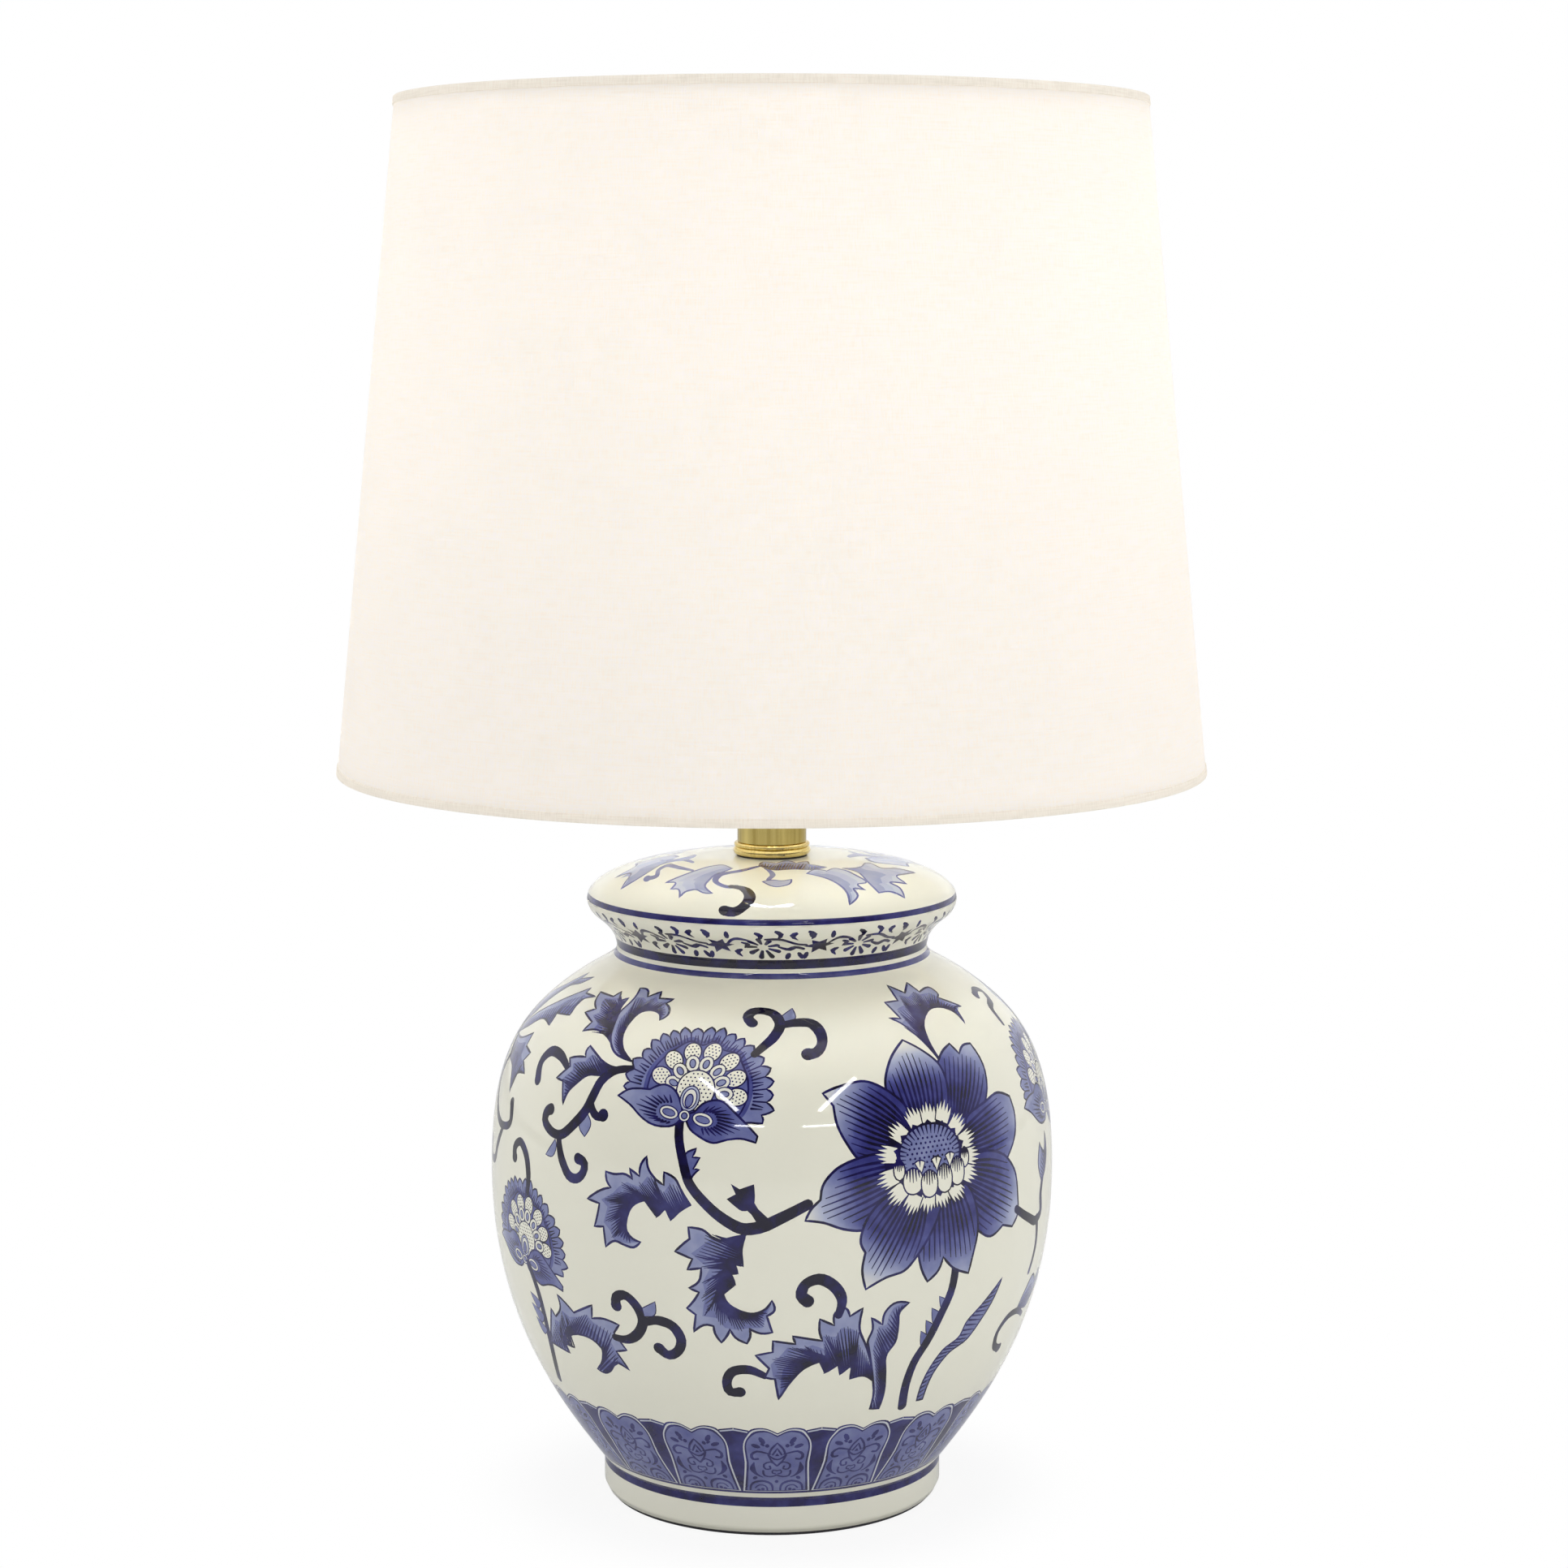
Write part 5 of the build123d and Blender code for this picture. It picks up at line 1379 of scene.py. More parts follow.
# %% Garden
def garden(turned):
    """Half of the jar's painting, turned by degrees."""

    def at(degrees, up, **more):
        return Brush(jar, degrees + turned, belly_along + up, **more)

    peony(at(-58.3, -19, size=0.88))
    peony(at(80, 37))

    b = at(-58.3, -13.3)
    b.curl([(3, 16), (3.5, 24), (0.5, 31.5), (-5, 35), (-9.5, 31.5), (-9, 28)], 3.8, 2.4)
    b.stroke([(0, -14), (4.5, -26), (4, -44), (-4, -68)], 3.3, 0.95)
    thorns(b, [(3, -32), (-3, -27), (3, -38), (-4, -32), (2, -44), (-3, -38)])
    b = at(-54.7, -59.1)
    b.leaf(
        [(-3, -2, 1), (2.5, 9), (5, 15, 1), (7, 12, 1), (12, 17.5), (11.5, 22.5, 1), (16.5, 19.5),
         (20, 16.5, 1)]
        + [(31.5, 22, 1), (30, 16, 1), (36, 17), (43.5, 15.5, 1), (40, 11.5, 1), (44, 4.5, 1), (38.5, 3, 1),
           (42, -5, 1)],
        [(36, -2.5), (32, -7), (28, -9), (24.5, -8, 1), (29.5, -2.5), (31, 3), (27.5, 6), (20.5, 7),
         (8, 2, 1)]
        + [(14.5, -0.5, 1), (6, 0.5, 1), (10, -4, 1)],
    )
    b = at(-33.4, -49)
    b.curl([(-1, -0.5), (5, -0.5), (10.5, 3), (13.5, 9), (11.5, 15), (6, 19), (2.5, 17.5), (2, 14)])
    b.curl([(13.5, 8), (20.5, 10), (26.5, 8), (29, 2.5), (27, -2.5), (22.5, -5), (19, -2.5)])
    little_bud(b, [(14, 14.5, 1), (20, 18, 1), (19, 12), (14.5, 11, 1)])
    at(-0.5, -59.8).curl([(-1.5, -1.5), (-9, 1.5), (-14.5, 0), (-16.5, -5), (-15, -9.5), (-11.5, -9.5)], 4.2,
                         2.5)

    b = at(-5.1, -1.4)
    b.leaf(
        [(0.5, 0, 1), (-4, -1), (-10.5, -2.5), (-16.5, 1.5), (-22, 2, 1), (-21.5, -2.5, 1), (-24.5, -5),
         (-27.5, -8, 1)]
        + [(-20.5, -10.5, 1), (-22.5, -15, 1), (-17, -14, 1), (-18, -19.5), (-22, -22.5, 1), (-18, -24, 1),
           (-20, -27.5)]
        + [(-23, -31, 1), (-19.5, -33.5, 1), (-20.5, -41, 1), (-15, -37.5), (-12.5, -38, 1), (-12, -41),
           (-9.5, -45, 1)]
        + [(-6.5, -40.5), (-6, -39, 1), (-4, -42.5), (0.5, -45, 1), (2, -40.5), (1.5, -38.5, 1), (6, -40.5)]
        + [(10.5, -40, 1), (9, -35), (8.5, -33, 1), (11.5, -30.5), (10.5, -26.5, 1)],
        [(8, -30), (3.5, -32), (-2, -31), (-7, -27.5), (-9, -21.5), (-9.5, -16.5, 1), (-3.5, -20, 1),
         (-6.5, -13, 1)]
        + [(-2.5, -15.5, 1), (-4.5, -9.5, 1), (-0.5, -12.5, 1), (-1, -5.5)],
    )
    b = at(-14.8, 8.9)
    b.leaf(
        [(-1.5, 0.5, 1), (-5, 5.5), (-8, 10.5), (-12.5, 12.5, 1), (-12.5, 7.5, 1), (-16, 9.5), (-19.5, 14),
         (-20, 18, 1)]
        + [(-22.5, 14.5), (-23, 10, 1), (-27.5, 12.5, 1), (-26, 8.5, 1), (-29, 10), (-35, 9.5),
           (-38.5, 10, 1), (-38, 6.5)]
        + [(-36, 4, 1), (-39.5, 3), (-42.5, 1.5), (-47.5, -2, 1), (-41.5, -3, 1), (-42.5, -8),
           (-44, -12.5, 1)]
        + [(-39.5, -12, 1), (-38.5, -20, 1), (-34, -17), (-30, -18), (-25.5, -18.5), (-22.5, -16, 1)],
        [(-26, -15), (-28.5, -12.5), (-28.5, -7), (-26, -2), (-20, 1), (-13.5, 1, 1), (-15.5, -5.5, 1)]
        + [(-11.5, -1, 1), (-9.5, -6, 1), (-5, -1.5)],
    )

    b = at(-18.1, 40.5)
    b.shape(
        [(4.5, -23.5, 1), (2.5, -18), (2.5, -11.5), (7, -9, 1), (5.5, -12.5, 1), (8.5, -12.5, 1)]
        + [(6, -17, 1), (8.5, -17, 1), (6, -19.5)],
        0.55,
    )
    b.stroke(
        [(-0.5, 3), (-0.5, -5), (1.5, -13.5), (4.5, -22.5), (11, -30), (18.5, -36), (26, -39.5),
         (33.5, -38.5)]
        + [(40, -35.5), (51, -30)],
        [3.6, 3.8, 4.2, 5, 4.2],
        0.97,
    )
    b.stroke([(34.5, -37.5), (29.5, -31.5), (27, -28.5)], [5, 3.4, 5], 0.97)
    b.lay(
        soft_line(
            [(21, -22, 1), (24.5, -24, 1), (30, -22, 1), (30.5, -26.5), (29.5, -31.5), (25.5, -32.5),
             (22.5, -30.5)]
            + [(19.5, -28, 1), (23, -26, 1)],
            closed=True,
        ),
        0.95,
    )
    b = at(-32.1, 60.9)
    b.leaf(
        [(-12, 7.5, 1), (-18.5, 12), (-24.5, 13.5), (-32.5, 11.5, 1), (-30, 16.5, 1), (-38, 20, 1),
         (-32.5, 23, 1)]
        + [(-36.5, 26.5), (-37.5, 31.5, 1), (-27.5, 31, 1), (-25, 34.5, 1), (-22.5, 29.5, 1), (-18.5, 32, 1)],
        [(-19, 26), (-17.5, 21), (-15.5, 17), (-13, 11.5)],
        ink=0.5,
    )
    b.leaf(
        [(-0.5, 2.5, 1), (-10.5, 5.5), (-15.5, 11.5), (-17, 17), (-18, 24), (-16, 30), (-15.5, 33.5),
         (-16.5, 38.5, 1)]
        + [(-12.5, 38.5), (-9.5, 34.5, 1), (-5, 38.5, 1), (-3.5, 34.5, 1), (3, 35, 1), (1, 32, 1), (4, 29.5),
           (5, 26)]
        + [(3, 23, 1)],
        [(1.5, 26), (-3, 27.5), (-7.5, 26), (-10, 20), (-10, 13.5), (-7, 7.5)],
        ink=0.5,
    )
    b.leaf(
        [(-2, -0.5, 1), (-8.5, -1), (-14, 0.5), (-19.5, 3.5), (-24, 6, 1), (-25, 3.5), (-24, 1, 1),
         (-30.5, 0)]
        + [(-33, -1, 1), (-31, -4, 1), (-37.5, -10, 1), (-33, -10.5, 1), (-30, -19.5, 1)],
        [(-28.5, -14.5), (-24.5, -10), (-19.5, -6), (-12.5, -5)],
    )
    b.curl([(-33, -4.5), (-39, -1), (-47, -0.5), (-51.5, -5), (-50.5, -13)], 4.4, 0)
    b.curl([(-30, -31.5), (-29, -36.5), (-26.5, -42), (-21.5, -47), (-18.5, -47), (-15, -44), (-14.5, -40.5),
            (-18, -39)], 4.0, 2.3)
    little_bud(b, [(-16, -20.5, 1), (-13, -24.5), (-15.5, -30, 1), (-19, -26.5)])
    little_bud(b, [(-32, -33.5, 1), (-37.5, -40.5, 1), (-33, -40.5), (-31, -36)])
    b.curl(
        [(2, -0.5), (-7.5, -3), (-12, -7.5), (-14, -13), (-16.5, -19.5), (-21.5, -25.5), (-30, -31.5),
         (-36, -30.5)]
        + [(-40, -27), (-39, -23.5), (-37, -22.5)],
        4.2,
        2.4,
    )
    b.curl([(-14.5, -16), (-12, -20.5), (-9, -21.5), (-7.5, -20.5)], 3.4, 2.6)
    peony(at(-16.1, 51.9))

    b = at(2.3, 84.9)
    little_bud(b, [(0.5, 4, 1), (5, 8.5, 1), (6, 2.5), (1.5, -1, 1)])
    b.curl([(-10.5, -15), (-7, -11.5), (-2.5, -6.5), (0, 0), (-2.5, 5.5), (-6, 7), (-10.5, 6.5), (-12.5, 3.5),
            (-11, 0.5)], 4.2, 2.4)
    b.curl([(0, -1), (6, 0.5), (12, 0), (16, -6), (16, -11), (13.5, -14.5), (10.5, -15)], 4.6, 2.8)

    b = at(38.9, 61)
    b.leaf(
        [(3, -2, 1), (-3, 13.5), (-7.5, 21.5), (-10, 23.5, 1), (-5, 22.5, 1), (-6.5, 32, 1), (0, 32, 1),
         (1.5, 41.5, 1)]
        + [(6.5, 35.5, 1), (12.5, 41, 1), (14.5, 34.5, 1), (23, 35), (24, 31), (22, 29.5, 1), (32.5, 22, 1),
           (28, 23, 1)]
        + [(27, 14, 1)],
        [(25, 20.5), (20.5, 24), (13.5, 25), (7.5, 22), (3.5, 17.5), (1.5, 11)],
        ink=0.48,
    )
    b = at(38.4, -22.1)
    thorns(b, [(-2, -15), (-6, -10), (-4.5, -21), (-9, -14.5), (-6.5, -26), (-11, -19.5), (-8.5, -30.5),
               (-12.5, -24)])
    b.stroke([(1, 4), (0, -8.5), (-4, -18.5), (-8, -28.5), (-12.5, -38), (-13.5, -47.5), (-11.5, -60)], 4.0,
             0.95)
    blade = b.shape(
        [(-5, -58.5, 1), (-5.5, -51.5), (-4, -43.5), (1, -35), (9, -30), (11, -25), (18.5, -19),
         (31, -9.5, 1)]
        + [(26.5, -18), (20, -26), (13.5, -33), (5, -37), (-0.5, -44.5), (-2, -58.5, 1)],
        0.5,
    )
    b.comb(blade[: len(blade) // 2], blade[len(blade) // 2 :][::-1], spacing=2.4, start=0.1, end=0.9,
           lean=0.05)
    b = at(24.8, -80.7)
    b.leaf(
        [(-3.5, 13.5, 1), (-10, 31.5), (-13.5, 39), (-13, 48, 1), (-18, 45, 1), (-20, 48.5), (-24, 47),
         (-24, 41.5, 1)]
        + [(-30, 44.5, 1), (-29.5, 38.5), (-28, 35, 1), (-40, 37.5, 1), (-38.5, 34, 1), (-47.5, 35.5, 1),
           (-47, 30.5, 1)]
        + [(-53.5, 29, 1), (-47.5, 23, 1), (-48.5, 19, 1), (-47.5, 18.5), (-44.5, 18, 1), (-41.5, 8, 1)],
        [(-38.5, 16), (-33.5, 23), (-26.5, 26), (-22, 26, 1), (-25.5, 20, 1), (-20, 24, 1), (-19, 19, 1)]
        + [(-14.5, 23.5, 1), (-14.5, 16.5, 1), (-9.5, 17.5)],
    )
    b.leaf(
        [(-3, 0, 1), (-3, 8), (-4.5, 14.5), (-8.5, 29.5), (-9.5, 33), (-8, 38.5), (-9, 43.5, 1), (-4, 40, 1)]
        + [(-3.5, 45), (0, 48.5), (7, 48, 1)],
        [(3, 44.5), (3, 38), (2.5, 31.5), (-0.5, 26.5), (0.5, 16.5), (1.5, 8.5), (1, -0.5, 1)],
    )
    at(13.6, -31.9).curl([(-0.5, -3), (0.5, 4), (-3, 9.5), (-9, 12.5), (-14.5, 10), (-15.5, 6), (-13, 3.5)],
                         4.6, 2.6)
    lotus(at(32.6, 25.1))

    b = at(-74.5, 52.4)
    b.leaf([(-28, 8, 1), (-28, 16), (-26, 26), (-16, 34), (-7.5, 45, 1), (-6, 41, 1), (3, 45, 1)],
           [(0.5, 40.5), (-7.5, 36), (-12, 28.5), (-18, 14)])
    b.leaf(
        [(-25, 4.5, 1), (-14, 16), (-3, 25), (12.5, 40, 1), (14, 37, 1), (23, 37, 1)],
        [(16.5, 32.5), (18.5, 29), (21, 25, 1), (10.5, 23.5, 1), (13.5, 17.5, 1), (2, 18.5), (-8.5, 12)],
    )
    b.leaf([(-20, 6, 1), (-5.5, 7), (4.5, 11.5, 1), (6, 5.5, 1), (14, 4, 1), (11, 0, 1), (17.5, -4.5, 1)],
           [(10, -6), (7.5, -14.5, 1), (0, -5), (-12, -2)])
    b.curl([(-9.5, 1), (-16.5, -12.5), (-9, -23), (6, -28.5), (15.5, -25), (13.5, -17.5)], 3.6, 2.2)
    b.curl([(7.5, -28), (0.5, -37), (-4.5, -44.5), (-14, -44), (-14, -38)], 3.6, 2.2)
    b = at(72, 45.6)
    b.curl([(0, 23), (3, 31), (11, 34), (14, 38), (9, 41), (2, 39)], 3.4, 2.2)
    b.stroke([(-30, -50), (-18.5, -56), (-10, -59), (-4.5, -57), (-5, -49), (-2, -42)], [3.4, 4.0, 3.0], 0.95)
    b.stroke([(-9, -58), (-6.5, -70), (-10, -81)], [3.0, 2.6], 0.95)
    b.leaf([(-4, -44, 1), (-8, -36), (-5, -28, 1), (0, -33), (4, -25, 1)], [(5, -34), (1, -41)], ink=0.45)
    b.leaf([(-14, -96, 1), (-10, -90), (-2, -84), (4, -88, 1), (8, -84), (12, -90, 1)],
           [(6, -94), (0, -98), (-8, -97)])
    b.curl([(-4, -101), (-14, -97), (-23, -98), (-27.5, -103), (-25.5, -109.5), (-20, -112)], 3.2, 2.2)


garden(0)
garden(180)
print("garden layers:", len(jar.layers))

# %% [markdown]
# ## Borders
#
# Lappets stand around the foot and a vine runs around the collar. Each repeats one drawing, with dark bands
# between.

# %% Borders
lappet_count, vine_count = 17, 11
lappet_start, vine_start = 1.5, -17.0  # degrees from the front to the first of each

# Levels in mm above the table, from the foot up to the collar, and along the lid from its widest point.
foot_band, lappet_line, lappet_level = (12.7, 17.0), (19.3, 21.0), 20.0
neck_line, neck_band, vine_level = (227.2, 229.3), (231.0, 234.9), 241.4
lid_line, sprig_along = (0.5, 2.9), 19.3


def band(pot, low, high, ink):
    """A plain band all the way round, between two ways up the outline."""
    steps = 180
    around = np.linspace(pot.seam - 4, pot.seam + pot.width + 4, steps)
    levels = np.repeat([low, high], steps)
    edge = np.stack([np.concatenate([around, around[::-1]]), levels], axis=1)
    pot.layers.append((edge, ink, ink, None))


def lappet(brush, half=12.6, low_half=13.3, tall=39.5):
    """A lappet: a two-lobed panel edged in white, a lotus bud and scrolls, and the dark gap beside it."""
    gap = [(half - 2, 0.5), (half - 2, tall - 4), (half - 1, tall - 1.6), (17.6, tall - 0.4), (13.7, 0.5)]
    for way in (1, -1):
        brush.lay([(way * x, y + 0.8 * (y > tall / 2)) for x, y in gap], 0.84)
        brush.lay([(way * x, y) for x, y in gap], 0.2)
        brush.lay([(way * x, y - 0.7 * (y > tall / 2)) for x, y in gap], 0.84)

    def panel(shrink):
        side = [(low_half - shrink, 0.5 + 0.5 * shrink, 1), (half + 0.2 - shrink, tall * 0.45)]
        side += [(half - shrink, tall - 5), (half * 0.8 - 0.8 * shrink, tall - 0.9 - shrink)]
        side += [(half * 0.46 - 0.3 * shrink, tall - shrink)]
        return [*side, (0, tall - 2.9 - shrink, 1), *[(-x, y, *corner) for x, y, *corner in side[::-1]]]

    for shrink, ink in ((-0.7, 0.84), (0.0, 0.15), (0.7, 0.84), (1.6, 0.5)):
        brush.lay(soft_line(panel(shrink), closed=True, step=2.0), ink)

    def both(points, width, ink=0.8):
        for way in (1, -1):
            brush.stroke([(x * way, y) for x, y in points], width, ink)

    def drops(spots):
        for x, y, across, up, tip in spots:
            for way in (1, -1):
                brush.lay(oval((x * way, y), across, up, tip * way, steps=8), 0.8)

    brush.shape([(-3.4, 24.2, 1), (-2.4, 28), (0, 31.6, 1), (2.4, 28), (3.4, 24.2, 1), (0, 21.6)], 0.5,
                line=0.9, line_ink=0.8)
    brush.stroke([(-1.8, 24.6), (0, 28.4, 1), (1.8, 24.6)], 0.8, 0.8)
    brush.lay([(-0.9, 23.8), (0, 25.6), (0.9, 23.8)], 0.8)
    both([(3.6, 24.6), (2.2, 20.8), (0, 17.6)], 0.8)
    both([(2.6, 25), (5.1, 25.8), (8.1, 26.6), (10.2, 24.6), (9.4, 21.8), (7.6, 22)], [0.7, 1.3, 1.2])
    both([(0.2, 17.8), (2.6, 20.2), (5.2, 18.6), (4.4, 15.6), (2.6, 15.8), (2.9, 17.6)], 0.85)
    both([(5.4, 14.6), (4.8, 11.4), (2.4, 10.6), (0, 11.8)], 0.85)
    both([(0, 14.6), (1.4, 15), (1.7, 13), (0.6, 12.6)], 0.7)
    both([(9.2, 19.6), (9.6, 15.4), (7.8, 12), (5.4, 10.2)], [0.6, 2.5, 1.3, 0.4])
    drops([(6.2, 33, 1.1, 2.3, -28), (8.6, 29.8, 1.1, 2.1, -62), (4, 30, 0.9, 1.1, 0),
           (5.9, 30.6, 0.6, 1.2, -45)])
    drops([(8.6, 9.8, 0.9, 1.2, 30), (0, 7.4, 0.8, 1.0, 0)])
    both([(1.5, 1.4), (2.4, 6), (5.9, 7.8), (9.4, 6.2), (10.4, 1.6)], [0.7, 1.3, 1.3, 0.7])
    both([(3.6, 1.4), (4.4, 4.4), (6.8, 5), (8.4, 3)], 0.7)
    drops([(5.4, 2.2, 0.8, 0.9, 0), (7.0, 1.6, 0.8, 0.8, 0)])


def vine(brush):
    """One repeat of the vine, 38 mm long: a star flower, a daisy of ticks, two stems, commas and dots."""
    star = []
    for i in range(12):
        far = (3.2, 2.6) if i % 2 else (6.3, 5.2)
        a = math.radians(30 * i + 8)
        star.append((far[0] * math.cos(a), far[1] * math.sin(a)))
    brush.lay(star, 0.9)
    for i in range(9):
        a = math.radians(40 * i + 15)
        ray = np.array((math.cos(a), math.sin(a) * 0.95))
        brush.lay(ribbon(np.array([(17.2, -1)] * 2) + np.outer((2.6, 6.2), ray), [1.2, 2.2]), 0.9)
    brush.stroke([(3.6, 1.2), (7.4, 5.2), (11.4, 4.6), (14.8, 1.6)], [1.2, 1.9, 1.2], 0.9)
    brush.stroke([(19.5, 5), (26, 4.8), (31.5, 1), (34.8, 0.4)], [1.3, 1.9, 1.5], 0.9)
    brush.stroke([(23.6, -0.8), (27.4, -2.4), (30, -1), (33, -2.2)], [1.3, 2.2, 1.6], 0.9)
    for x, y, way in ((17, 6.6, 1), (25.2, 7.4, 1), (31.6, 6.6, -1), (38.6, 7.2, 1), (10.6, 0.6, 1),
                      (7.4, -4.4, -1)):
        brush.stroke([(x - 0.9 * way, y + 1.7), (x + 0.9 * way, y + 0.5), (x - 0.6 * way, y - 2)],
                     [1.4, 2.6, 0.6], 0.9)
    for x, y, tip in ((26.2, -6.2, -30), (-4.4, -6, -10), (-4.2, 7.2, 40), (4.4, 7.2, 0), (31.2, -6, 20)):
        brush.lay(oval((x, y), 1.1, 2.0, tip, steps=8), 0.9)


band(jar, jar.along_at(0, foot_band[0]), jar.along_at(1, foot_band[1]), 0.84)
band(jar, *(jar.along_at(1, level) for level in lappet_line), 0.82)
for i in range(lappet_count):
    lappet(Brush(jar, lappet_start + i * 360 / lappet_count, jar.along_at(1, lappet_level)))
for i in range(vine_count):
    vine(Brush(jar, vine_start + i * 360 / vine_count, jar.along_at(1, vine_level)))
band(jar, *(jar.along_at(1, level) for level in neck_line), 0.72)
# The collar band is dark cobalt, inked near black to carry painted shade as well.
band(jar, *(jar.along_at(1, level) for level in neck_band), 0.95)
band(lid, *lid_line, 0.82)
print("jar layers with borders:", len(jar.layers))


# %% [markdown]
# On the lid, leaves and tendrils grow out from under the brass ring. The same brush draws them, with its
# sheet wrapped round the dome, so they narrow towards the top as real brushwork does there. Most are inked
# paler than the jar's blue: a painted reflection of the lit shade in the glaze.

# %% Sprigs on the lid
def lid_sprigs(turned):
    """Leaves and tendrils that grow out from under the brass ring. Their pale inks are a painted reflection
    of the lit shade over the blue brushwork.
    """
    b = Brush(lid, turned, sprig_along)
    # painted reflection: the low inks and line inks below lighten the blue where the glaze mirrors the lit
    # shade
    b.curl([(-40, 27), (-50, 26), (-59, 20), (-64, 13)], 2.8, 2.0, ink=0.45)
    b.leaf([(-62, 24, 1), (-76, 20), (-93, 6, 1), (-84, 6), (-88, -4, 1), (-76, 2), (-74, -8, 1)],
           [(-66, 2), (-62, 12)], 0.26, 0.62, veins=False)
    b.curl([(-36, 18.5), (-46, 18.5), (-56, 16.5), (-57.5, 12), (-55, 7), (-60, 3)], 3.4, 2.6, ink=0.55)
    b.leaf(
        [(-16.5, 27, 1), (-21, 31), (-26, 28), (-33, 20), (-39.5, 12), (-47.5, 2.5, 1), (-42, 4),
         (-43.5, -2, 1)]
        + [(-40, -1), (-38.5, -7, 1), (-35, -1.5), (-31, 0), (-28, -2), (-24, -2, 1)],
        [(-27.5, 3.5), (-26, 10), (-23.5, 17), (-20, 21.5)],
        ink=0.26,
        line_ink=0.62,
        veins=False,
    )
    b.curl([(-5.5, 32.5), (-12, 25), (-22, 16), (-23, 9), (-18, 4.5), (-14, 5)], 3.0, 0, ink=0.6)
    b.curl([(-16, 5), (-11.5, 3.5), (-8.5, -3.5), (-10.5, -9.5), (-15, -13), (-18.5, -12.5)], 4.6, 2.6)
    b.curl([(-2.5, 29.5), (0.5, 19), (-1, 12), (2.5, 9)], 2.2, 0, ink=0.48)
    b.shape([(-3.5, 11, 1), (0, 13), (4, 12), (8, 13.5, 1), (7, 8), (2, 5.5)], 0.28, line_ink=0.62)
    b.leaf(
        [(-5, 34, 1), (-2.5, 43), (2, 39, 1), (6, 45), (10, 38.5, 1), (15, 40), (16, 34, 1), (24, 26.5, 1)],
        [(16.5, 25), (9, 27.5), (1.5, 26.5)],
        ink=0.44,
        line_ink=0.72,
    )
    b.leaf(
        [(32, 22.5, 1), (43, 20), (50, 22), (54, 20, 1), (55.5, 15.5), (68.5, 9.5), (80.5, 2, 1), (70, 4),
         (61.5, 4.5)]
        + [(65, -2.5, 1), (54.5, 1), (59, -4), (60, -10.5, 1), (51.5, -5), (46.5, -5, 1)],
        [(42.5, 4), (39, 15.5)],
        ink=0.26,
        line_ink=0.62,
        veins=False,
    )
    b.leaf(
        [(14.5, 20, 1), (18, 25), (23.5, 21.5, 1), (27, 24), (31.5, 21), (37, 13), (41, 4), (37, 4),
         (40, -2, 1)]
        + [(34.5, 0.5), (36, -5.5), (32, -10.5, 1)],
        [(31.5, -3.5), (27.5, 6), (21.5, 14)],
        ink=0.26,
        line_ink=0.62,
        veins=False,
    )
    b.curl([(47, 31), (58, 28), (67, 23.5), (73, 18)], 2.6, 2.0, ink=0.45)


for half_turn in (0, 180):
    lid_sprigs(half_turn)
print("lid layers:", len(lid.layers))


# %% [markdown]
# ## Cutting the skin along the brushstrokes
#
# Every outline becomes edges of one flat triangle mesh, so no picture is needed. A triangle takes its ink
# from the topmost layer that covers it, by the winding of that layer's outline around its middle. Then the
# sheet is rolled up, welded at the seam, and given the true direction of the outline for smooth glaze. Most
# outlines are partly painted over, so the sheet is cut twice, the second time only where inks really meet.

# %% Imprint
fine_row, fine_column, coarse_row, coarse_column = 4.0, 4.8, 7.0, 9.0
cell = 1.6  # no plain mesh point is needed within about this distance of a brushstroke
touching = 1e-4  # points this close, in mm, are on the same line
straight, longest_side = 0.03, 6.0  # a point less than this off a straight side is left out, in mm
snap, sliver = 1e-5, 1e-9  # points this close are joined, in mm, and triangles this small are left out


def winding(points, outline):
    """How often the outline runs around each point."""
    x, y = points[:, :1], points[:, 1:]
    ax, ay = outline.T
    bx, by = np.roll(outline, -1, axis=0).T
    left = (bx - ax) * (y - ay) - (x - ax) * (by - ay)
    up = (ay <= y) & (by > y) & (left > 0)
    down = (ay > y) & (by <= y) & (left < 0)
    return up.sum(axis=1) - down.sum(axis=1)


def plain_points(pot, painted_runs, drawn):
    """Rows of points that carry the pot's roundness, left out where brushstrokes already bring points."""
    busy = set(map(tuple, np.floor(drawn / cell).astype(int).tolist()))
    rows = []
    for number, (along, _, _) in enumerate(pot.runs):
        fine = number in painted_runs
        row_gap, column_gap = (fine_row, fine_column) if fine else (coarse_row, coarse_column)
        columns = np.linspace(pot.seam, pot.seam + pot.width, math.ceil(pot.width / column_gap) + 1)
        row_count = max(2, math.ceil((along[-1] - along[0]) / row_gap) + 1)
        for level in np.linspace(along[0], along[-1], row_count):
            rows.append(np.stack([columns, np.full(len(columns), level)], axis=1))
    points = np.vstack(rows)
    edge = (points[:, 0] < pot.seam + touching) | (points[:, 0] > pot.seam + pot.width - touching)
    corner_levels = np.array([along[0] for along, _, _ in pot.runs] + [pot.length])
    on_corner = np.min(np.abs(points[:, 1][:, None] - corner_levels), axis=1) < touching
    free = np.array([tuple(c) not in busy for c in np.floor(points / cell).astype(int).tolist()])
    return points[edge | on_corner | free]


def sheet_of(points, edges):
    """A flat sheet of triangles that holds every edge, all wound the same way, and the middle of each."""
    cut = delaunay_2d_cdt([Vector(p) for p in points.tolist()], edges.tolist(), [], 0, snap, False)
    flat, faces = np.array([tuple(p) for p in cut[0]]), np.array(cut[2])
    a, b, c = (flat[faces[:, i]] for i in range(3))
    area = (b - a)[:, 0] * (c - a)[:, 1] - (b - a)[:, 1] * (c - a)[:, 0]
    faces[area < 0] = faces[area < 0][:, ::-1]
    faces = faces[np.abs(area) > sliver]
    return flat, faces, flat[faces].mean(axis=1)


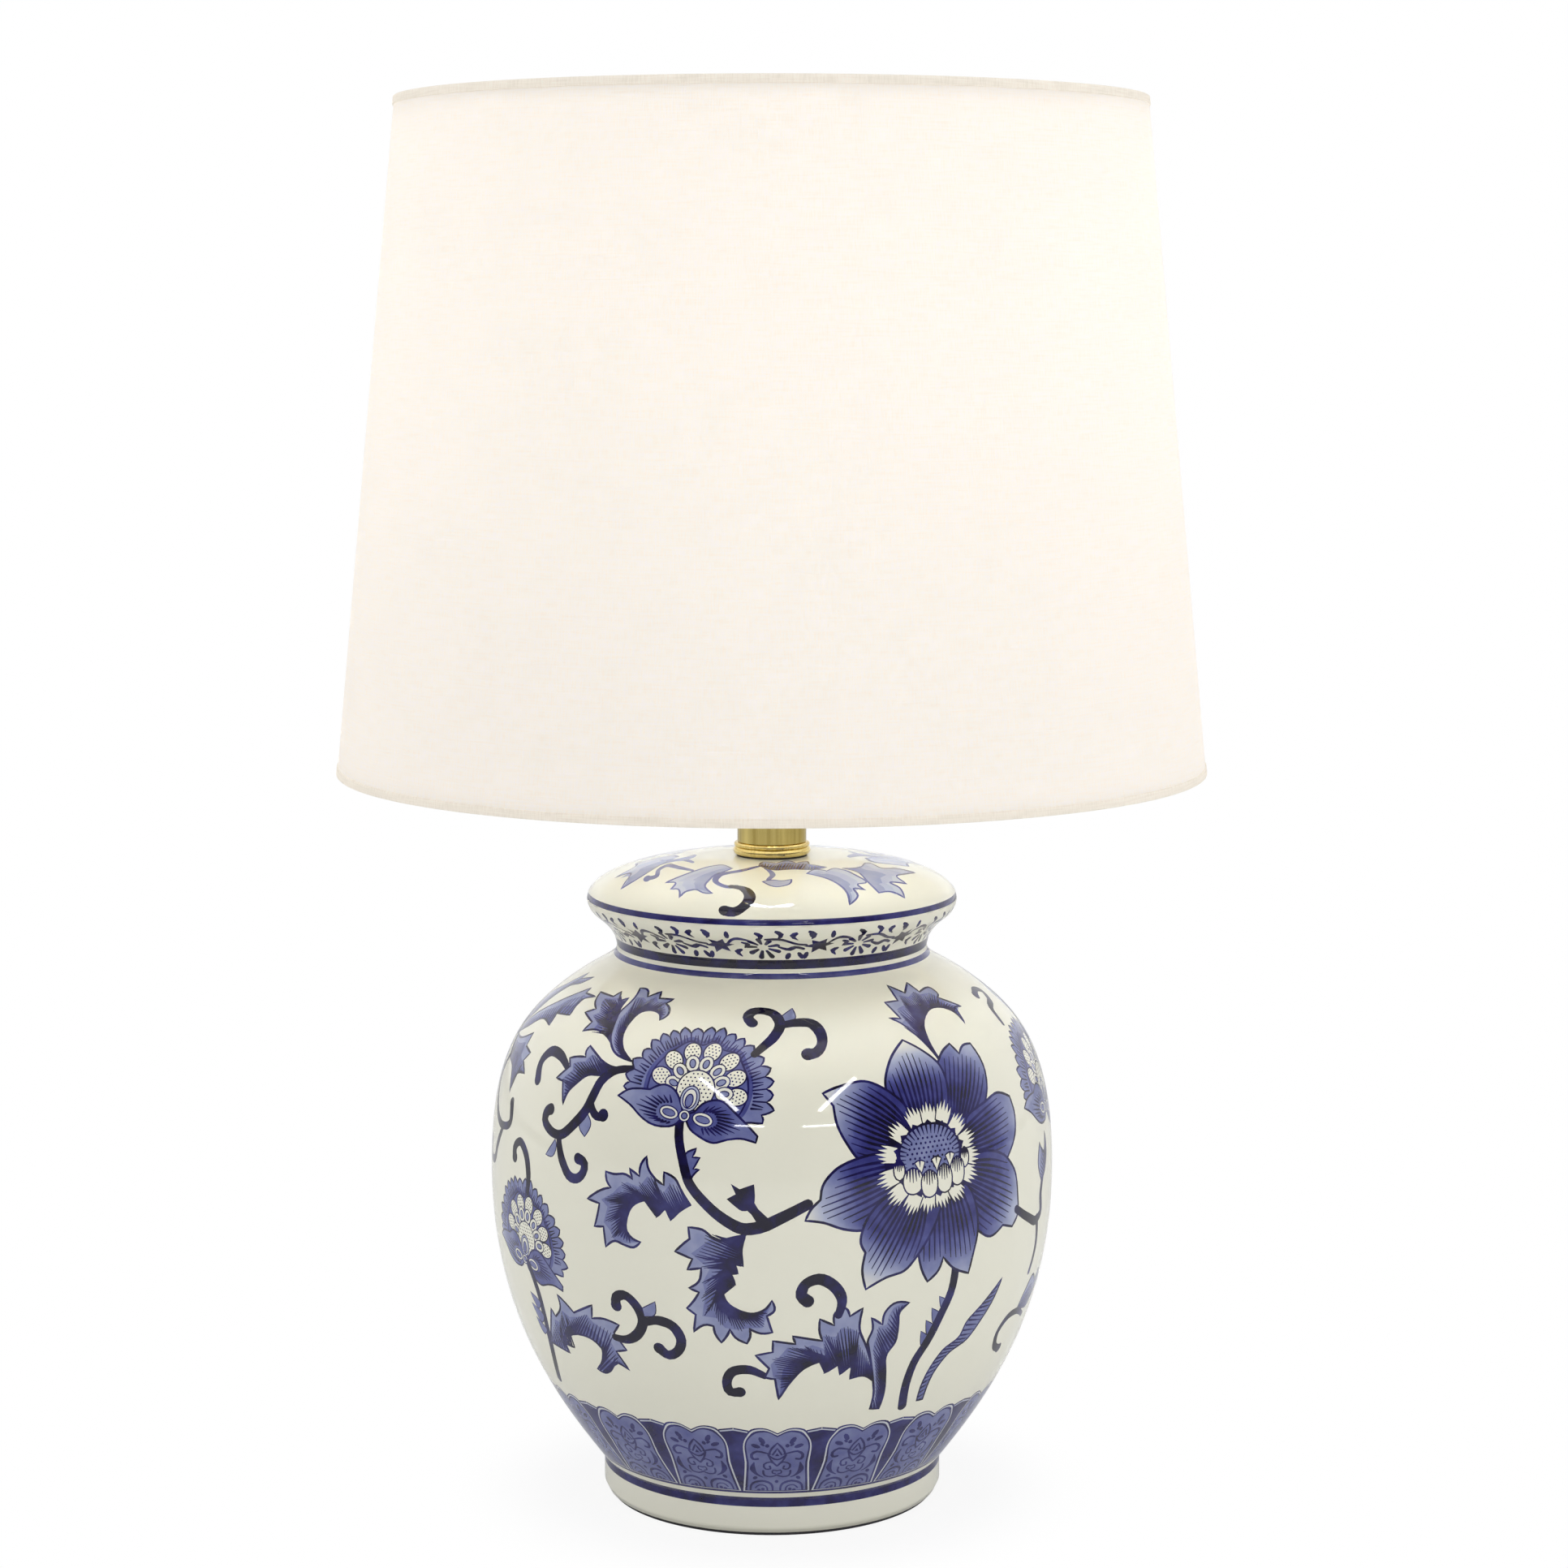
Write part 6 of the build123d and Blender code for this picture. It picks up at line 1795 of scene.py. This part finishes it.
def topmost(middle, outlines):
    """The number of the last outline around each point, or -1."""
    order = np.argsort(middle[:, 0])
    sorted_x = middle[order, 0]
    top = np.full(len(middle), -1)
    for number, outline in enumerate(outlines):
        low, high = outline.min(axis=0), outline.max(axis=0)
        first, last = np.searchsorted(sorted_x, (low[0], high[0]))
        near = order[first:last]
        near = near[(middle[near, 1] > low[1]) & (middle[near, 1] < high[1])]
        if len(near):
            top[near[winding(middle[near], outline) != 0]] = number
    return top


def seen_edges(flat, faces, top, held):
    """The edges between two different layers, without the points on a straight stretch that aren't held."""
    sides = np.sort(np.vstack([faces[:, [0, 1]], faces[:, [1, 2]], faces[:, [2, 0]]]), axis=1)
    layer = np.tile(top, 3)
    order = np.lexsort((sides[:, 1], sides[:, 0]))
    sides, layer = sides[order], layer[order]
    twins = np.flatnonzero((sides[1:] == sides[:-1]).all(axis=1))
    links = {}
    for a, b in sides[twins[layer[twins] != layer[twins + 1]]].tolist():
        links.setdefault(a, set()).add(b)
        links.setdefault(b, set()).add(a)
    for point in [p for p in links if len(links[p]) == 2 and not held[p]]:
        if len(links[point]) != 2:
            continue
        a, b = links[point]
        span, off = flat[b] - flat[a], flat[point] - flat[a]
        reach = math.hypot(*span)
        bulge = abs(span[0] * off[1] - span[1] * off[0])
        if b in links[a] or reach > longest_side or bulge > straight * reach:
            continue
        del links[point]
        links[a] = links[a] - {point} | {b}
        links[b] = links[b] - {point} | {a}
    return np.array([(a, b) for a in sorted(links) for b in sorted(links[a]) if a < b])


def layers_round(pot):
    """All layers on the sheet, with a copy a whole turn away of each one that crosses the seam."""
    shifted = []
    for outline, ink, to_ink, fade in pot.layers:
        for shift in (-2, -1, 0, 1, 2):
            moved = outline + (shift * pot.width, 0)
            if moved[:, 0].max() > pot.seam and moved[:, 0].min() < pot.seam + pot.width:
                ends = None if fade is None else fade + (shift * pot.width, 0)
                shifted.append((moved, ink, to_ink, ends))
    return shifted


def rims(outlines, first):
    """The edges of closed outlines whose points are numbered on from first."""
    starts = np.cumsum([first] + [len(outline) for outline in outlines])
    around = [np.arange(len(outline)) for outline in outlines]
    return [np.stack([a, np.roll(a, -1)], axis=1) + start for a, start in zip(around, starts)]


def cut_skin(pot, painted_runs, openings=()):
    """The flat skin as triangles: points, faces, the run of each face and the ink at its corners.

    It is cut twice: once along every outline, to find what is seen, and then along the seen edges alone.
    """
    layers = layers_round(pot)
    outlines = [outline for outline, *_ in layers]
    corners = [along[0] for along, _, _ in pot.runs] + [pot.length]
    frame_points = [(x, level) for level in corners for x in (pot.seam, pot.seam + pot.width)]
    last = 2 * len(corners) - 2
    frame_edges = [(2 * i, 2 * i + 1) for i in range(len(corners))] + [(0, last), (1, last + 1)]
    closed = [*outlines, *openings]
    edges = np.vstack([frame_edges, *rims(closed, len(frame_points))])
    flat, faces, middle = sheet_of(np.vstack([frame_points, *closed]), edges)

    far_corner = (pot.seam + pot.width + touching, pot.length + touching)
    inside = ((flat > (pot.seam - touching, -touching)) & (flat < far_corner)).all(axis=1)
    within = inside[faces].all(axis=1)
    on_frame = (np.abs(flat[:, :1] - (pot.seam, pot.seam + pot.width)) < touching).any(axis=1)
    on_frame |= (np.abs(flat[:, 1:] - np.array(corners)) < touching).any(axis=1)
    seen = seen_edges(flat, faces[within], topmost(middle[within], outlines), on_frame)
    used, numbered = np.unique(seen, return_inverse=True)
    points = [frame_points, flat[used], *openings, plain_points(pot, painted_runs, flat[used])]
    seen = numbered.reshape(-1, 2) + len(frame_points)
    edges = np.vstack([frame_edges, seen, *rims(openings, len(frame_points) + len(used))])
    flat, faces, middle = sheet_of(np.vstack(points), edges)

    kept = (middle[:, 0] > pot.seam) & (middle[:, 0] < pot.seam + pot.width)
    kept &= (middle[:, 1] > 0) & (middle[:, 1] < pot.length)
    for opening in openings:
        near = (np.abs(middle - opening.mean(axis=0)) < 20).all(axis=1) & kept
        kept[np.flatnonzero(near)[winding(middle[near], opening) != 0]] = False
    faces, middle = faces[kept], middle[kept]
    runs = np.searchsorted(corners[:-1], middle[:, 1]) - 1
    top = topmost(middle, outlines)
    ink = np.zeros((len(faces), 3))
    for number in np.unique(top[top >= 0]):
        _, layer_ink, to_ink, fade = layers[number]
        covered = np.flatnonzero(top == number)
        ink[covered] = layer_ink
        if fade is not None:
            way = fade[1] - fade[0]
            share = np.clip(((flat[faces[covered]] - fade[0]) @ way) / (way @ way), 0, 1)
            ink[covered] = layer_ink + (to_ink - layer_ink) * share
    return flat, faces, runs, ink


def weld_pairs(flat, first, second, axis):
    """For each point of the second edge, the point of the first edge at the same height or turn."""
    ranked = first[np.argsort(flat[first, axis])]
    place = np.clip(np.searchsorted(flat[ranked, axis], flat[second, axis]), 1, len(ranked) - 1)
    before, after = ranked[place - 1], ranked[place]
    nearer = np.abs(flat[before, axis] - flat[second, axis]) < np.abs(flat[after, axis] - flat[second, axis])
    return np.where(nearer, before, after)


def imprint(name, pot, material, painted_runs, openings=(), tunnel=None):
    """Rolls a cut skin up into a mesh with an ink value at every corner of every face."""
    flat, faces, runs, ink = cut_skin(pot, painted_runs, openings)
    merged = np.arange(len(flat))
    left = np.flatnonzero(np.abs(flat[:, 0] - pot.seam) < touching)
    right = np.flatnonzero(np.abs(flat[:, 0] - pot.seam - pot.width) < touching)
    merged[right] = weld_pairs(flat, left, right, 1)
    bottom = np.flatnonzero(np.abs(flat[:, 1]) < touching)
    top = np.flatnonzero(np.abs(flat[:, 1] - pot.length) < touching)
    merged[top] = merged[weld_pairs(flat, bottom, top, 0)]
    corners = flat[faces].reshape(-1, 2)
    normals = pot.outward(corners, np.repeat(runs, 3))
    places = pot.place(flat)
    loops = merged[faces]
    if tunnel is not None:
        extra, facing = tunnel(flat, places)
        loops = np.vstack([loops, merged[extra]])
        normals = np.vstack([normals, facing])
        ink = np.vstack([ink, np.zeros((len(extra), 3))])
    whole = (loops[:, 0] != loops[:, 1]) & (loops[:, 1] != loops[:, 2]) & (loops[:, 2] != loops[:, 0])
    loops, ink = loops[whole], ink[whole]
    normals = normals.reshape(-1, 3, 3)[whole].reshape(-1, 3)
    used, tidy = np.unique(loops, return_inverse=True)
    mesh = bpy.data.meshes.new(name)
    mesh.from_pydata((places[used] * mm).tolist(), [], tidy.reshape(-1, 3).tolist())
    mesh.polygons.foreach_set("use_smooth", [True] * len(mesh.polygons))
    mesh.attributes.new("ink", "FLOAT", "CORNER").data.foreach_set("value", ink.reshape(-1))
    mesh.normals_split_custom_set(normals.tolist())
    mesh.materials.append(material)
    piece = bpy.data.objects.new(name, mesh)
    bpy.context.scene.collection.objects.link(piece)
    print(name, len(mesh.vertices), "points,", len(mesh.polygons), "triangles")
    return piece


# %% [markdown]
# Cobalt is painted on the raw pot and fired under clear glaze, so the blue is soft inside and glossy on top.
# A glossy white base whose colour follows the ink does that in one surface, without a second shell.

# %% Glaze
# Clear glaze over white porcelain and cobalt. The ink of the mesh picks the blue: pale wash, mid blue, ink
# blue, near black. A soft cloud in it is the uneven load of the brush.
cobalt = [(0.0, "#E5E3D3"), (0.25, "#A8AEC6"), (0.45, "#7278A3"), (0.6, "#4B4F8A")]
cobalt += [(0.73, "#323372"), (0.87, "#1C1752"), (1.0, "#0F0A24")]
brush_cloud_mm, brush_cloud = 9.0, 0.16

glaze, glaze_tree, glaze_surface = new_finish("glazed_porcelain", Roughness=0.04, IOR=1.5)
ink_on_it = add_node(glaze_tree, "ShaderNodeAttribute", attribute_name="ink")
glaze_place = add_node(glaze_tree, "ShaderNodeTexCoord")
cloud = add_node(
    glaze_tree,
    "ShaderNodeTexNoise",
    {"Vector": glaze_place.outputs["Object"], "Scale": 1 / (brush_cloud_mm * mm), "Detail": 4.0},
)
cloud_shift = add_node(
    glaze_tree,
    "ShaderNodeMapRange",
    {"Value": cloud.outputs["Fac"], "From Min": 0.25, "From Max": 0.75}
    | {"To Min": 1 - brush_cloud, "To Max": 1 + brush_cloud},
)
load = {0: ink_on_it.outputs["Fac"], 1: cloud_shift.outputs[0]}
loaded = add_node(glaze_tree, "ShaderNodeMath", load, operation="MULTIPLY")
blues = add_node(glaze_tree, "ShaderNodeValToRGB", {"Fac": loaded.outputs[0]})
while len(blues.color_ramp.elements) < len(cobalt):
    blues.color_ramp.elements.new(0.5)
for element, (place, hex_colour) in zip(blues.color_ramp.elements, cobalt):
    element.position = place
    element.color = srgb(hex_colour)
glaze_tree.links.new(blues.outputs["Color"], glaze_surface.inputs["Base Color"])
print("glaze over", len(cobalt), "blues, from bare porcelain to near black")

# %% [markdown]
# The painted skins take the place of the plain CAD jar and lid. The jar's foot has a hole at the back for
# the cord, so its edge is cut into the skin twice, outside and inside, and a short tunnel joins the two.

# %% Jar and lid
hole_radius, hole_level, hole_steps = 4.6, 9.0, 40


def hole_outline(run_index, radius):
    """The cord hole's edge, where its cylinder meets an upright wall of the foot at the back."""
    turn = np.arange(hole_steps) * 2 * math.pi / hole_steps
    across = -np.arcsin(hole_radius * np.cos(turn) / radius)
    along, run, _ = jar.runs[run_index]
    order = np.argsort(run[:, 1])
    height = np.interp(hole_level + hole_radius * np.sin(turn), run[order, 1], along[order])
    return np.stack([(math.pi + across) * jar.reference, height], axis=1)


hole_edges = [hole_outline(0, foot_radius), hole_outline(len(jar.runs) - 1, foot_inner_radius)]


def cord_tunnel(flat, places):
    """Faces between the two edges of the cord hole, and the way they face."""
    rings = []
    for edge in hole_edges:
        near = np.flatnonzero((np.abs(flat - edge.mean(axis=0)) < (12, 6)).all(axis=1))
        x, z = places[near, 0], places[near, 2] - hole_level
        ring = near[np.abs(np.hypot(x, z) - hole_radius) < 0.05]
        angle = np.arctan2(places[ring, 2] - hole_level, places[ring, 0])
        order = np.argsort(angle)
        rings.append((ring[order], angle[order]))
    (outer, outer_angle), (inner, inner_angle) = rings
    faces, i, j = [], 0, 0
    while i < len(outer) or j < len(inner):
        next_outer = outer_angle[i + 1] if i + 1 < len(outer) else outer_angle[0] + 2 * math.pi
        next_inner = inner_angle[j + 1] if j + 1 < len(inner) else inner_angle[0] + 2 * math.pi
        o, n = outer[i % len(outer)], inner[j % len(inner)]
        if j >= len(inner) or (i < len(outer) and next_outer <= next_inner):
            faces.append((o, n, outer[(i + 1) % len(outer)]))
            i += 1
        else:
            faces.append((o, n, inner[(j + 1) % len(inner)]))
            j += 1
    corners = places[np.array(faces)].reshape(-1, 3)
    facing = np.stack([-corners[:, 0], np.zeros(len(corners)), hole_level - corners[:, 2]], axis=1)
    return np.array(faces), facing / np.linalg.norm(facing, axis=1)[:, None]


painted_jar = imprint("painted_jar", jar, glaze, (0, 1), hole_edges, cord_tunnel)
painted_lid = imprint("painted_lid", lid, glaze, (0,))
for piece, node_name in ((painted_jar, "jar_body"), (painted_lid, "jar_lid")):
    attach(piece, "base")
    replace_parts(piece, node_name)
    places = np.array([point.co for point in piece.data.vertices])
    low, high = (np.array(corner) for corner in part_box(node_name))
    off = [np.round(ends / mm, 2).tolist() for ends in (places.min(axis=0) - low, places.max(axis=0) - high)]
    print(piece.name, "box less CAD box, mm:", off)
